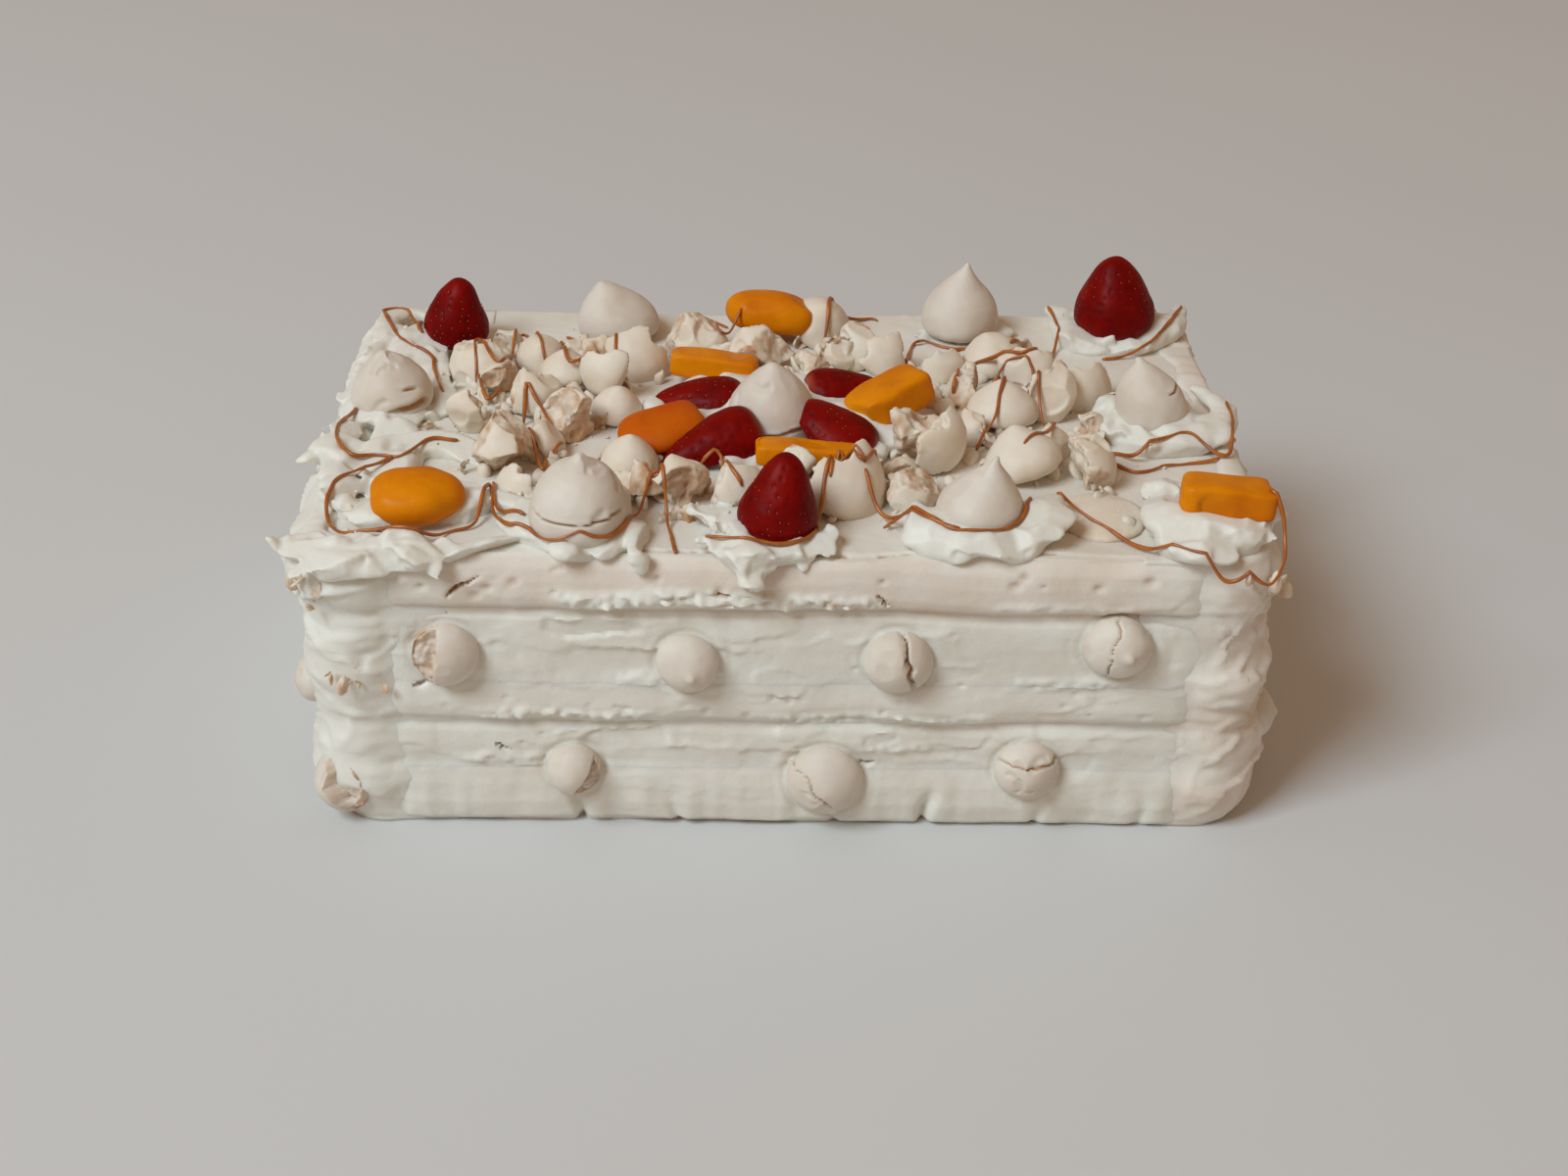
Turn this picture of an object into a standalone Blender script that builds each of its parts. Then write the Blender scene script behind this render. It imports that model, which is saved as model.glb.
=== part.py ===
"""A rectangular pavlova: three meringue layers, two cream fillings, cream smeared over both
ends, and a top of kisses, strawberries, peach pieces, cream dollops and broken meringue.

Metres, +Z up. The origin is the middle of the underside. +X runs along the cake's length and
-Y is the long side with the loose edge of the top sheet. Lengths below are in millimetres,
times MM.
"""

import math
import random

import bmesh
import bpy
from mathutils import Euler, Matrix, Vector, noise

MM = 0.001

# Driving sizes of the cake
CORE_HALF_X = 159 * MM
CORE_HALF_Y = 101.5 * MM
CORNER_RADIUS = 20 * MM
TOP = 107 * MM
GAP = 0.4 * MM
SOCKET_CLEARANCE = 0.5 * MM

# Cream smeared over the two ends starts this far from the middle
COAT_START = 136 * MM
COAT_BLEND = 12 * MM
COAT_THICKNESS = 4.8 * MM
COAT_THICKEST = 12.5 * MM

# Where the smeared cream juts out: x, y, z, radius and how far, in mm
COAT_BUMPS = (
    (-164, -90, 97, 26, 8.5),
    (-164, -80, 62, 15, 3.5),
    (-164, -60, 14, 16, 3.0),
    (-164, 30, 99, 26, 3.0),
    (-164, 88, 80, 24, 3.5),
    (164, -84, 61, 15, 4.5),
    (164, -70, 97, 22, 2.5),
    (164, 10, 100, 26, 2.5),
    (164, 84, 70, 26, 3.5),
)

# How far the biggest kisses stand out from the core's outline
SIDE_REACH = 9.5 * MM
END_REACH = 13 * MM

# Samples along each straight side and round each corner
FRONT_STEPS = 22
END_STEPS = 8
CORNER_STEPS = 3

# The piped base is scalloped: lobes this wide with a notch between them
LOBE_WIDTH = 36 * MM
LOBE_DEPTH = 3.2 * MM

# A kiss's outline as (share of height, share of radius), fine and in few steps
FINE_KISS = (
    (0.0, 0.86),
    (0.12, 0.99),
    (0.34, 0.98),
    (0.56, 0.78),
    (0.74, 0.46),
    (0.89, 0.18),
    (1.0, 0.05),
)
COARSE_KISS = (
    (0.0, 0.84),
    (0.24, 1.0),
    (0.55, 0.78),
    (0.82, 0.34),
    (1.0, 0.08),
)
SIDE_KISS = (
    (0.0, 0.96),
    (0.36, 1.0),
    (0.64, 0.86),
    (0.85, 0.52),
    (1.0, 0.12),
)

COLOURS = {
    "meringue": ((0.80, 0.70, 0.60), 0.75),
    "cream": ((0.84, 0.81, 0.72), 0.55),
    "kiss": ((0.82, 0.75, 0.67), 0.70),
    "strawberry": ((0.30, 0.010, 0.008), 0.30),
    "peach": ((0.80, 0.32, 0.015), 0.30),
}

# name, bottom, top, unevenness, rings as (share of height, inset), all in mm but the share
LAYERS = (
    ("meringue_base", 0, 24, 0.8, ((0, 1.5), (0.3, -1.5), (0.7, -0.8), (1, 1.2))),
    ("cream_lower", 24, 42, 0.8, ((0, 1.0), (0.35, 0.2), (0.78, 0.8), (1, 3.0))),
    ("meringue_middle", 42, 59, 1.0, ((0, 0.4), (0.3, -1.2), (0.75, -0.2), (1, 0.8))),
    ("cream_upper", 59, 87, 0.8, ((0, 0.6), (0.35, 0.2), (0.84, 0.8), (1, 3.0))),
    ("meringue_top", 87, 107, 0.8, ((0, 0.4), (0.25, -1.2), (0.82, -0.4), (1, 3.0))),
)

# name, x, y, seat above the top, radius, height, lean x and y of the tip, tilt about x and y
KISSES = (
    ("kiss_front_left", -72.5, -85, 2.5, 16.3, 28, (1, 0), (0, 0)),
    ("kiss_front_right", 61.5, -80, 2.5, 15.0, 25, (3, 1), (0, 4)),
    ("kiss_left", -145, 6, 2.5, 14.8, 22, (-1, 1), (0, -6)),
    ("kiss_right", 132.5, -3, 4, 13.0, 25, (-3, 2), (-8, -8)),
    ("kiss_back_left", -65, 76, 1.5, 15.6, 21, (-4, 1), (0, -6)),
    ("kiss_back_right", 68.5, 80, 2.5, 15.0, 28, (2, 0), (0, 0)),
    ("kiss_centre", -7, -10, 3, 16.0, 27, (0, 0), (4, 0)),
)

# name, x, y, seat, radius, length, tilt about x and y
STANDING_STRAWBERRIES = (
    ("strawberry_front", -7, -87, 2.5, 13.2, 29, (-6, 8)),
    ("strawberry_back_left", -129, 66, 2.5, 12.6, 26, (4, 6)),
    ("strawberry_back_right", 130, 81, 4, 16.0, 30, (0, -3)),
)

# name, x, y, height of the middle above the top, radius, length, turn, nose-up tilt, roll
HALF_STRAWBERRIES = (
    ("strawberry_centre_front_left", -29, -29, 9, 12.5, 37, 205, -8, 0),
    ("strawberry_centre_front_right", 17, -21, 9.5, 15.0, 31, 150, 38, 10),
    ("strawberry_centre_back_left", -33, 9, 7.5, 12.5, 33, 180, 4, 0),
    ("strawberry_centre_back_right", 21, 13, 9, 11.5, 31, 8, 4, 20),
)

# name, x, y, underside above the top, length, width, height, squareness, turn, tilt x and y
PEACHES = (
    ("peach_front_left", -128, -75, 3, 30, 24, 12, 2.3, 8, (3, 0)),
    ("peach_front_right", 144.5, -81, 9, 30, 16, 11, 4.5, -3, (-6, 4)),
    ("peach_back", -7, 74, 4, 34, 22, 14, 2.4, -4, (-12, 6)),
    ("peach_centre_back_left", -28, 33, 3, 32, 13, 9, 4.0, -6, (-8, 4)),
    ("peach_centre_left", -46, -19, 3, 30, 20, 10, 2.8, 20, (8, -8)),
    ("peach_centre_right", 38, -1, 5, 30, 18, 13, 3.6, 35, (-10, -14)),
    ("peach_centre_front", 7, -39, 3, 39, 11, 8, 3.6, -4, (-6, 2)),
)

# name, x, y, radius along x and y, height, number of lobes, lobe depth
DOLLOPS = (
    ("dollop_front_left", -73, -83, 23, 19, 5, 5, 0.16),
    ("dollop_front_right", 62, -78, 23, 21, 6, 5, 0.18),
    ("dollop_corner", 143, -79, 20, 20, 12, 4, 0.14),
    ("dollop_right", 133, -3, 23, 22, 6, 5, 0.18),
    ("dollop_back_corner", 130, 79, 23, 21, 7, 6, 0.10),
    ("dollop_back_right", 68, 79, 19, 18, 4.5, 5, 0.14),
    ("cream_centre", -3, -4, 52, 43, 5, 7, 0.08),
)
DOLLOP_FRONT = (-8, -86, 20, 17, 6, 5, 0.2)
LEFT_CREAM = ((-128, -76, 27, 22, 5.5), (-142, 4, 19, 27, 5.5), (-131, 66, 24, 24, 6))
LEFT_STRIP = (-143, -4, 16, 88, 3.5)

# side, distance along it, height, radius, thickness, how far the crown stands out
SIDE_KISSES = (
    ("front_upper_1", "front", -117, 70, 12.0, 13, 8.5),
    ("front_upper_2", "front", -36, 68, 11.2, 13, 9.0),
    ("front_upper_3", "front", 35, 69, 12.0, 13, 9.0),
    ("front_upper_4", "front", 109, 75, 12.4, 14, 9.5),
    ("front_lower_1", "front", -75, 24, 10.5, 12, 8.0),
    ("front_lower_2", "front", 12, 20, 14.2, 15, 9.5),
    ("front_lower_3", "front", 82, 25, 11.8, 13, 8.5),
    ("corner_lower", "front_left_corner", 0, 15, 12.0, 15, 12.0),
    ("left_1", "left", -78, 47, 10.5, 13, 13.0),
    ("left_2", "left", 22, 70, 11.0, 13, 12.0),
    ("right_1", "right", -80, 36, 10.5, 13, 13.0),
    ("right_2", "right", -66, 14, 10.0, 13, 11.5),
    ("back_upper_1", "back", -108, 70, 12.0, 13, 9.5),
    ("back_upper_2", "back", -34, 70, 11.5, 13, 9.0),
    ("back_upper_3", "back", 41, 68, 12.0, 13, 9.0),
    ("back_upper_4", "back", 112, 71, 11.5, 13, 9.0),
    ("back_lower_1", "back", -72, 23, 12.0, 13, 9.0),
    ("back_lower_2", "back", 6, 22, 13.0, 14, 9.5),
    ("back_lower_3", "back", 80, 24, 11.5, 13, 9.0),
)

# Broken meringue: x, y, height of the middle above the top, radius of the broken kiss,
# turn, tilt, share of it that is left. The first row of a heap is its low bed:
# x, y, half length, half width, height.
HEAPS = {
    "shards_left": (
        (-84, -4, 31, 58, 4.5),
        (
            (-117, 40, 5, 11.5, 20, 50, 0.6),
            (-118, -5, 8, 11.5, 80, 80, 0.45),
            (-105, 20, 5, 9, 140, 30, 0.6),
            (-94, 45, 6, 9, 10, 60, 0.6),
            (-94, 8, 8, 10.5, 200, 75, 0.7),
            (-84, 32, 7, 10, 300, 20, 0.8),
            (-71, 20, 6, 11, 250, 70, 0.55),
            (-58, 38, 6, 11.5, 170, 35, 0.6),
            (-64, 2, 5, 9, 40, 45, 0.7),
            (-78, -12, 8, 13, 110, 80, 0.55),
            (-101, -40, 8, 13.5, 330, 55, 0.7),
            (-90, -30, 4, 9, 30, 20, 0.7),
            (-97, -60, 4, 9, 210, 40, 0.7),
            (-57, -41, 6, 9.5, 60, 15, 0.9),
        ),
    ),
    "shards_front": (
        (-12, -62, 44, 10, 4),
        (
            (-42, -64, 7, 12, 120, 60, 0.65),
            (-23, -62, 6, 11, 290, 75, 0.5),
            (-54, -57, 4, 8, 10, 30, 0.7),
            (1, -50, 6, 9, 80, 75, 0.5),
            (20, -64, 6, 13, 20, 65, 0.4),
        ),
    ),
    "shards_right": (
        (80, 0, 36, 58, 4.5),
        (
            (43, -30, 8, 13, 230, 60, 0.5),
            (53, -40, 9, 11, 70, 85, 0.35),
            (37, -58, 5, 10, 150, 40, 0.7),
            (78, 3, 7, 12, 180, 15, 0.7),
            (80, -36, 7, 13, 30, 25, 0.75),
            (93, 10, 9, 12.5, 320, 70, 0.6),
            (90, 53, 5, 9, 80, 40, 0.7),
            (91, 34, 7, 11, 15, 70, 0.6),
            (110, 20, 6, 12, 260, 35, 0.7),
            (101, -46, 7, 12, 100, 70, 0.55),
            (66, 21, 6, 10, 130, 45, 0.65),
            (76, 47, 6, 12, 210, 25, 0.75),
            (88, -22, 5, 9, 340, 50, 0.6),
            (105, -70, 2, 13, 0, 8, 0.75),
        ),
    ),
    "shards_back": (
        (4, 51, 42, 12, 4),
        (
            (-37, 56, 7, 12, 190, 30, 0.75),
            (-12, 46, 7, 11.5, 40, 55, 0.65),
            (16, 71, 6, 11.5, 100, 60, 0.7),
            (28, 55, 6, 11, 250, 45, 0.65),
            (38, 41, 6, 10, 20, 60, 0.6),
            (12, 42, 5, 8, 300, 35, 0.7),
        ),
    ),
}


def material(kind):
    """One Principled material for each kind of food."""
    found = bpy.data.materials.get(kind)
    if found:
        return found
    colour, roughness = COLOURS[kind]
    made = bpy.data.materials.new(kind)
    made.use_nodes = True
    shader = made.node_tree.nodes["Principled BSDF"]
    shader.inputs["Base Color"].default_value = (*colour, 1)
    shader.inputs["Roughness"].default_value = roughness
    shader.inputs["Metallic"].default_value = 0
    return made


def add_object(name, bm, kind):
    """Closes off a bmesh as a smooth-shaded, triangulated object in the scene."""
    bmesh.ops.recalc_face_normals(bm, faces=bm.faces)
    bmesh.ops.triangulate(bm, faces=bm.faces)
    mesh = bpy.data.meshes.new(name)
    bm.to_mesh(mesh)
    bm.free()
    mesh.shade_smooth()
    mesh.set_sharp_from_angle(angle=math.radians(50))
    mesh.materials.append(material(kind))
    made = bpy.data.objects.new(name, mesh)
    bpy.context.scene.collection.objects.link(made)
    return made


def loft(rings):
    """A bmesh skinned over a stack of rings with the same number of points, both ends capped."""
    bm = bmesh.new()
    loops = []
    for ring in rings:
        verts = [bm.verts.new(point) for point in ring]
        loops.append([bm.edges.new(pair) for pair in zip(verts, verts[1:] + verts[:1])])
    for lower, upper in zip(loops, loops[1:]):
        bmesh.ops.bridge_loops(bm, edges=lower + upper)
    for end in (loops[0], loops[-1]):
        bmesh.ops.contextual_create(bm, geom=end)
    return bm


def outline():
    """Samples once round the core, seen from above: (point, outward normal)."""
    inner_x = CORE_HALF_X - CORNER_RADIUS
    inner_y = CORE_HALF_Y - CORNER_RADIUS
    sides = (
        ((-inner_x, -inner_y), (inner_x, -inner_y), -90, FRONT_STEPS),
        ((inner_x, -inner_y), (inner_x, inner_y), 0, END_STEPS),
        ((inner_x, inner_y), (-inner_x, inner_y), 90, FRONT_STEPS),
        ((-inner_x, inner_y), (-inner_x, -inner_y), 180, END_STEPS),
    )
    samples = []
    for start, end, facing, steps in sides:
        for i in range(steps + 1):
            along = Vector(start).lerp(Vector(end), i / steps)
            samples.append((along, math.radians(facing)))
        for i in range(1, CORNER_STEPS):
            turn = facing + 90 * i / CORNER_STEPS
            samples.append((Vector(end), math.radians(turn)))
    made = []
    for centre, angle in samples:
        normal = Vector((math.cos(angle), math.sin(angle)))
        made.append((centre + CORNER_RADIUS * normal, normal))
    return made


def bare(point):
    """1 where the layers show, falling to 0 where cream covers them."""
    return min(1, max(0, (COAT_START - COAT_BLEND - abs(point.x)) / COAT_BLEND))


def scallop(point):
    """0 in the middle of a piped lobe and 1 in the notch between two."""
    return 1 - math.sqrt(abs(math.cos(math.pi * (point.x - 12 * MM) / LOBE_WIDTH)))


def layer(name, bottom, top, uneven, rings):
    """One layer that runs through the whole cake, uneven where it shows."""
    low = bottom * MM + (GAP if bottom else 0)
    high = top * MM
    stack = []
    for share, inset in rings:
        z = low + share * (high - low)
        ring = []
        for point, normal in outline():
            wave = noise.noise(Vector((point.x * 28, point.y * 28, bottom * 0.7)))
            fine = noise.noise(Vector((point.x * 70, point.y * 70, bottom + share * 2)))
            out = (uneven * (wave + 0.6 * fine) - inset) * MM
            if name == "meringue_base":
                out -= LOBE_DEPTH * scallop(point) * (1 - share)
            ring.append((*(point + out * bare(point) * normal), z))
        stack.append(ring)
    return add_object(name, loft(stack), name.split("_")[0])


def bump_at(place_on_side):
    """How much further out the smeared cream stands near its bumps."""
    reach = 0
    for x, y, z, radius, height in COAT_BUMPS:
        away = (place_on_side - Vector((x, y, z)) * MM).length / (radius * MM)
        reach += height * MM * math.exp(-away * away)
    return reach


def coat(name, side):
    """Cream smeared over one end and a little way round both of its corners."""
    samples = outline()
    covered = [side * point.x > COAT_START for point, _ in samples]
    count = len(samples)
    first = next(i for i in range(count) if covered[i] and not covered[i - 1])
    run = []
    while covered[(first + len(run)) % count]:
        run.append(samples[(first + len(run)) % count])
    heights = (0, 0.12, 0.26, 0.4, 0.52, 0.66, 0.8, 0.92, 1)
    bulge = (0.35, 0.8, 1.0, 0.75, 0.95, 1.0, 0.75, 1.15, 0.7)
    stack = []
    for i, (point, normal) in enumerate(run):
        taper = min(1, 0.3 + 0.35 * min(i, len(run) - 1 - i))
        inside = point + GAP * normal
        ring = [(*inside, TOP - 0.5 * MM), (*inside, 0)]
        for share, swell in zip(heights, bulge):
            streak = noise.noise(Vector((point.x * 40, point.y * 22, share * 5 + side)))
            lump = noise.noise(Vector((point.x * 90, point.y * 60, share * 9 - side)))
            thick = COAT_THICKNESS * (swell + 0.45 * streak + 0.25 * lump)
            thick += bump_at(Vector((*point, share * TOP)))
            thick = taper * min(max(thick, 1.2 * MM), COAT_THICKEST)
            outside = point + (GAP + thick) * normal
            ring.append((*outside, share * (TOP - 0.5 * MM)))
        stack.append(ring)
    return add_object(name, loft(stack), "cream")


def turned(profile, sides, roughness, seed):
    """Rings of a turned form from (height, radius, shift x, shift y) rows, slightly uneven."""
    draw = random.Random(seed)
    phase = draw.uniform(0, math.tau)
    rings = []
    for height, radius, dx, dy in profile:
        ring = []
        for i in range(sides):
            angle = math.tau * i / sides
            wobble = 1 + roughness * math.sin(2 * angle + phase + 60 * height)
            r = radius * wobble
            ring.append((dx + r * math.cos(angle), dy + r * math.sin(angle), height))
        rings.append(ring)
    return rings


def kiss_rings(radius, height, lean, sides, seed, belly=FINE_KISS):
    """A piped kiss: a round belly that closes to a drawn-out tip."""
    rows = [
        (t * height, share * radius, lean[0] * t * t, lean[1] * t * t)
        for t, share in belly
    ]
    return turned(rows, sides, 0.02, seed)


def strawberry_rings(radius, length, seed, sides=12):
    """A hulled strawberry on its flat shoulder, tip up."""
    skin = (
        (0.0, 0.84),
        (0.14, 0.98),
        (0.34, 1.0),
        (0.56, 0.86),
        (0.76, 0.62),
        (0.91, 0.34),
        (1.0, 0.12),
    )
    rows = [(t * length, share * radius, 0, 0) for t, share in skin]
    return turned(rows, sides, 0.03, seed)


def slab_rings(length, width, height, squareness, sides=12):
    """A soft-edged piece of peach: a superellipse that swells and closes."""
    levels = ((0, 0.86), (0.22, 1.0), (0.6, 0.95), (0.88, 0.74), (1, 0.42))
    rings = []
    for share, spread in levels:
        ring = []
        for i in range(sides):
            angle = math.tau * (i + 0.5) / sides
            c, s = math.cos(angle), math.sin(angle)
            r = (abs(c) ** squareness + abs(s) ** squareness) ** (-1 / squareness)
            x, y = r * c * spread * length / 2, r * s * spread * width / 2
            ring.append((x, y, share * height))
        rings.append(ring)
    return rings


def dollop_rings(rx, ry, height, lobes, depth, seed, sides=18):
    """A spooned blob of cream with an uneven lobed edge."""
    draw = random.Random(seed)
    phase = draw.uniform(0, math.tau)
    levels = ((0, 1.0), (0.5, 0.97), (1, 0.84))
    rings = []
    for share, spread in levels:
        ring = []
        for i in range(sides):
            angle = math.tau * i / sides
            lobe = 1 + depth * math.sin(lobes * angle + phase) * (1 - 0.4 * share)
            lift = 1 + 0.8 * math.sin(3 * angle - phase) * share * (1 - share)
            x, y = rx * spread * lobe * math.cos(angle), ry * spread * lobe * math.sin(angle)
            ring.append((x, y, share * height * lift))
        rings.append(ring)
    return rings


def place(obj, x, y, z, tilt=(0, 0), turn=0):
    """Sets an object on the cake: millimetres from the middle, z above the top, degrees."""
    obj.location = (x * MM, y * MM, TOP + z * MM)
    angles = (math.radians(tilt[0]), math.radians(tilt[1]), math.radians(turn))
    obj.rotation_euler = Euler(angles)
    return obj


def scaled(rings, factor=MM):
    return [[tuple(factor * c for c in point) for point in ring] for ring in rings]


def keep_part_above(bm, point, direction):
    """Cuts a closed bmesh by a plane, keeps the side that direction points to and closes it."""
    bmesh.ops.bisect_plane(
        bm,
        geom=[*bm.verts, *bm.edges, *bm.faces],
        plane_co=point,
        plane_no=direction,
        clear_inner=True,
    )
    rim = [edge for edge in bm.edges if edge.is_boundary]
    bmesh.ops.holes_fill(bm, edges=rim, sides=0)


def kiss(name, x, y, seat, radius, height, lean, tilt):
    rings = scaled(kiss_rings(radius, height, lean, 12, name))
    return place(add_object(name, loft(rings), "kiss"), x, y, seat, tilt)


def standing_strawberry(name, x, y, seat, radius, length, tilt):
    rings = scaled(strawberry_rings(radius, length, name))
    return place(add_object(name, loft(rings), "strawberry"), x, y, seat, tilt)


def half_strawberry(name, x, y, middle, radius, length, turn, nose_up, roll):
    """Half a strawberry on its cut face, tip along its own +X before it is turned."""
    bm = loft(scaled(strawberry_rings(radius, length, name)))
    lay_down = Matrix.Rotation(math.radians(90), 4, "Y")
    centre = Matrix.Translation((0, 0, -0.46 * length * MM))
    bmesh.ops.transform(bm, matrix=lay_down @ centre, verts=bm.verts)
    keep_part_above(bm, (0, 0, 0), (0, 0, 1))
    middle_of_half = 0.45 * radius * MM
    bmesh.ops.translate(bm, verts=bm.verts, vec=(0, 0, -middle_of_half))
    made = add_object(name, bm, "strawberry")
    made.location = (x * MM, y * MM, TOP + middle * MM)
    turned_flat = Matrix.Rotation(math.radians(turn), 3, "Z")
    nose = Matrix.Rotation(math.radians(-nose_up), 3, "Y")
    rolled = Matrix.Rotation(math.radians(roll), 3, "X")
    made.rotation_euler = (turned_flat @ nose @ rolled).to_euler()
    return made


def peach(name, x, y, seat, length, width, height, squareness, turn, tilt):
    rings = scaled(slab_rings(length, width, height, squareness))
    return place(add_object(name, loft(rings), "peach"), x, y, seat, tilt, turn)


def side_kiss(name, side, along, height, radius, thickness, reach):
    """A kiss pressed into one of the sides, its tip pointing out."""
    corner = CORNER_RADIUS * math.sqrt(0.5)
    faces = {
        "front": ((along * MM, -CORE_HALF_Y), (0, -1)),
        "back": ((along * MM, CORE_HALF_Y), (0, 1)),
        "left": ((-CORE_HALF_X, along * MM), (-1, 0)),
        "right": ((CORE_HALF_X, along * MM), (1, 0)),
        "front_left_corner": (
            (
                -CORE_HALF_X + CORNER_RADIUS - corner,
                -CORE_HALF_Y + CORNER_RADIUS - corner,
            ),
            (-math.sqrt(0.5), -math.sqrt(0.5)),
        ),
    }
    foot, normal = (Vector(v) for v in faces[side])
    rings = scaled(kiss_rings(radius, thickness, (0, 0), 10, name, SIDE_KISS))
    made = add_object(f"side_kiss_{name}", loft(rings), "kiss")
    crown = rings[-1][0][2]
    base = foot + (reach * MM - crown) * normal
    made.location = (*base, height * MM)
    made.rotation_mode = "QUATERNION"
    made.rotation_quaternion = Vector((*normal, 0)).to_track_quat("Z", "Y")
    return made


def shard(x, y, z, radius, turn, tilt, share, seed):
    """A broken kiss: what is left of it on one side of a plane."""
    bm = loft(scaled(kiss_rings(radius, 1.15 * radius, (1, 0), 6, seed, COARSE_KISS)))
    height = 1.15 * radius * MM
    cut = (0.5 - share) * 2 * radius * MM
    keep_part_above(bm, (cut, 0, 0), (1, 0, -0.25))
    bmesh.ops.translate(bm, verts=bm.verts, vec=(-cut / 2, 0, -height / 2))
    made = add_object("shard", bm, "kiss")
    return place(made, x, y, z, (tilt, 0), turn)


def mound(rx, ry, height, seed, sides=16):
    """The low bed that a heap or a spread of cream has under it."""
    return dollop_rings(rx, ry, height, 5, 0.07, seed, sides)


def bare_copy(obj, grow):
    """A helper copy of an object, its surface moved out by grow."""
    twin = obj.copy()
    if grow:
        swell = twin.modifiers.new("swell", "DISPLACE")
        swell.mid_level = 0
        swell.strength = grow
    twin.hide_render = True
    twin.display_type = "WIRE"
    return twin


def largest_piece(bm):
    """Drops loose scraps and sealed hollows: only the widest closed shell stays."""
    left = set(bm.verts)
    shells = []
    while left:
        found = {left.pop()}
        edge = set(found)
        while edge:
            near = {e.other_vert(v) for v in edge for e in v.link_edges}
            edge = near - found
            found |= edge
        left -= found
        shells.append(found)
    spread = [max(v.co.x for v in s) - min(v.co.x for v in s) for s in shells]
    keep = shells[spread.index(max(spread))]
    scraps = [v for v in bm.verts if v not in keep]
    bmesh.ops.delete(bm, geom=scraps, context="VERTS")


def combine(obj, others, operation, grow=0.0):
    """Applies one exact Boolean with all the others, then removes the helpers."""
    if not others:
        return
    bpy.context.view_layer.update()
    helpers = bpy.data.collections.new("helpers")
    bpy.context.scene.collection.children.link(helpers)
    for other in others:
        helpers.objects.link(bare_copy(other, grow))
    boolean = obj.modifiers.new("boolean", "BOOLEAN")
    boolean.operation = operation
    boolean.solver = "EXACT"
    boolean.operand_type = "COLLECTION"
    boolean.collection = helpers
    graph = bpy.context.evaluated_depsgraph_get()
    mesh = bpy.data.meshes.new_from_object(obj.evaluated_get(graph))
    obj.modifiers.clear()
    bm = bmesh.new()
    bm.from_mesh(mesh)
    largest_piece(bm)
    bmesh.ops.triangulate(bm, faces=bm.faces)
    bm.to_mesh(mesh)
    bm.free()
    obj.data = mesh
    for helper in list(helpers.objects):
        bpy.data.objects.remove(helper)
    bpy.data.collections.remove(helpers)


def reach_of(obj):
    """Lowest and highest corner of an object."""
    corners = [obj.matrix_world @ Vector(c) for c in obj.bound_box]
    low = [min(c[i] for c in corners) for i in range(3)]
    high = [max(c[i] for c in corners) for i in range(3)]
    return low, high


def near(first, second):
    """Whether two objects' boxes come within a hair of each other."""
    (low_a, high_a), (low_b, high_b) = reach_of(first), reach_of(second)
    margin = 2 * SOCKET_CLEARANCE
    return all(
        low_a[i] - margin < high_b[i] and low_b[i] - margin < high_a[i] for i in range(3)
    )


def fit_to(obj, settled):
    """Presses an object round those already in place, a hair clear of each."""
    bpy.context.view_layer.update()
    touching = [other for other in settled if near(obj, other)]
    combine(obj, touching, "DIFFERENCE", SOCKET_CLEARANCE)


def fused(core, pieces, rename):
    """Joins separate solids into the core by one union and removes them."""
    combine(core, pieces, "UNION")
    for piece in pieces:
        bpy.data.objects.remove(piece)
    core.name = rename
    return core


def dollop(name, x, y, rx, ry, height, lobes, depth):
    rings = scaled(dollop_rings(rx, ry, height, lobes, depth, name))
    return place(add_object(name, loft(rings), "cream"), x, y, GAP / MM)


def front_dollop():
    """The dollop under the front strawberry, with a tongue that drips over the edge."""
    made = dollop("dollop_front", *DOLLOP_FRONT)
    rings = scaled(slab_rings(27, 11, 14, 2.4))
    tongue = add_object("tongue", loft(rings), "cream")
    place(tongue, -10, -102.5, -9, (-8, 0))
    return fused(made, [tongue], "dollop_front")


def left_cream():
    """The cream that runs along the left edge under a peach, a kiss and a strawberry."""
    x, y, rx, ry, height = LEFT_STRIP
    bed = add_object("bed", loft(scaled(mound(rx, ry, height, "left"))), "cream")
    place(bed, x, y, GAP / MM)
    blobs = [
        dollop(f"blob_{i}", bx, by, brx, bry, bh, 5, 0.14)
        for i, (bx, by, brx, bry, bh) in enumerate(LEFT_CREAM)
    ]
    return fused(bed, blobs, "cream_top_left")


def heap(name, bed, rows):
    """Broken meringue in a loose heap, fused over its low bed."""
    x, y, rx, ry, height = bed
    core = add_object("core", loft(scaled(mound(rx, ry, height, name))), "kiss")
    place(core, x, y, GAP / MM)
    pieces = [shard(*row, f"{name}{i}") for i, row in enumerate(rows)]
    bpy.context.view_layer.update()
    for piece in pieces:
        cut_below_top(piece, 2 * GAP)
    return fused(core, pieces, name)


def cut_below_top(obj, clearance=GAP):
    """Trims what would sink below the top of the cake."""
    bm = bmesh.new()
    bm.from_mesh(obj.data)
    bm.transform(obj.matrix_world)
    keep_part_above(bm, (0, 0, TOP + clearance), (0, 0, 1))
    bm.transform(obj.matrix_world.inverted())
    bmesh.ops.triangulate(bm, faces=bm.faces)
    bm.to_mesh(obj.data)
    bm.free()


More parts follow.
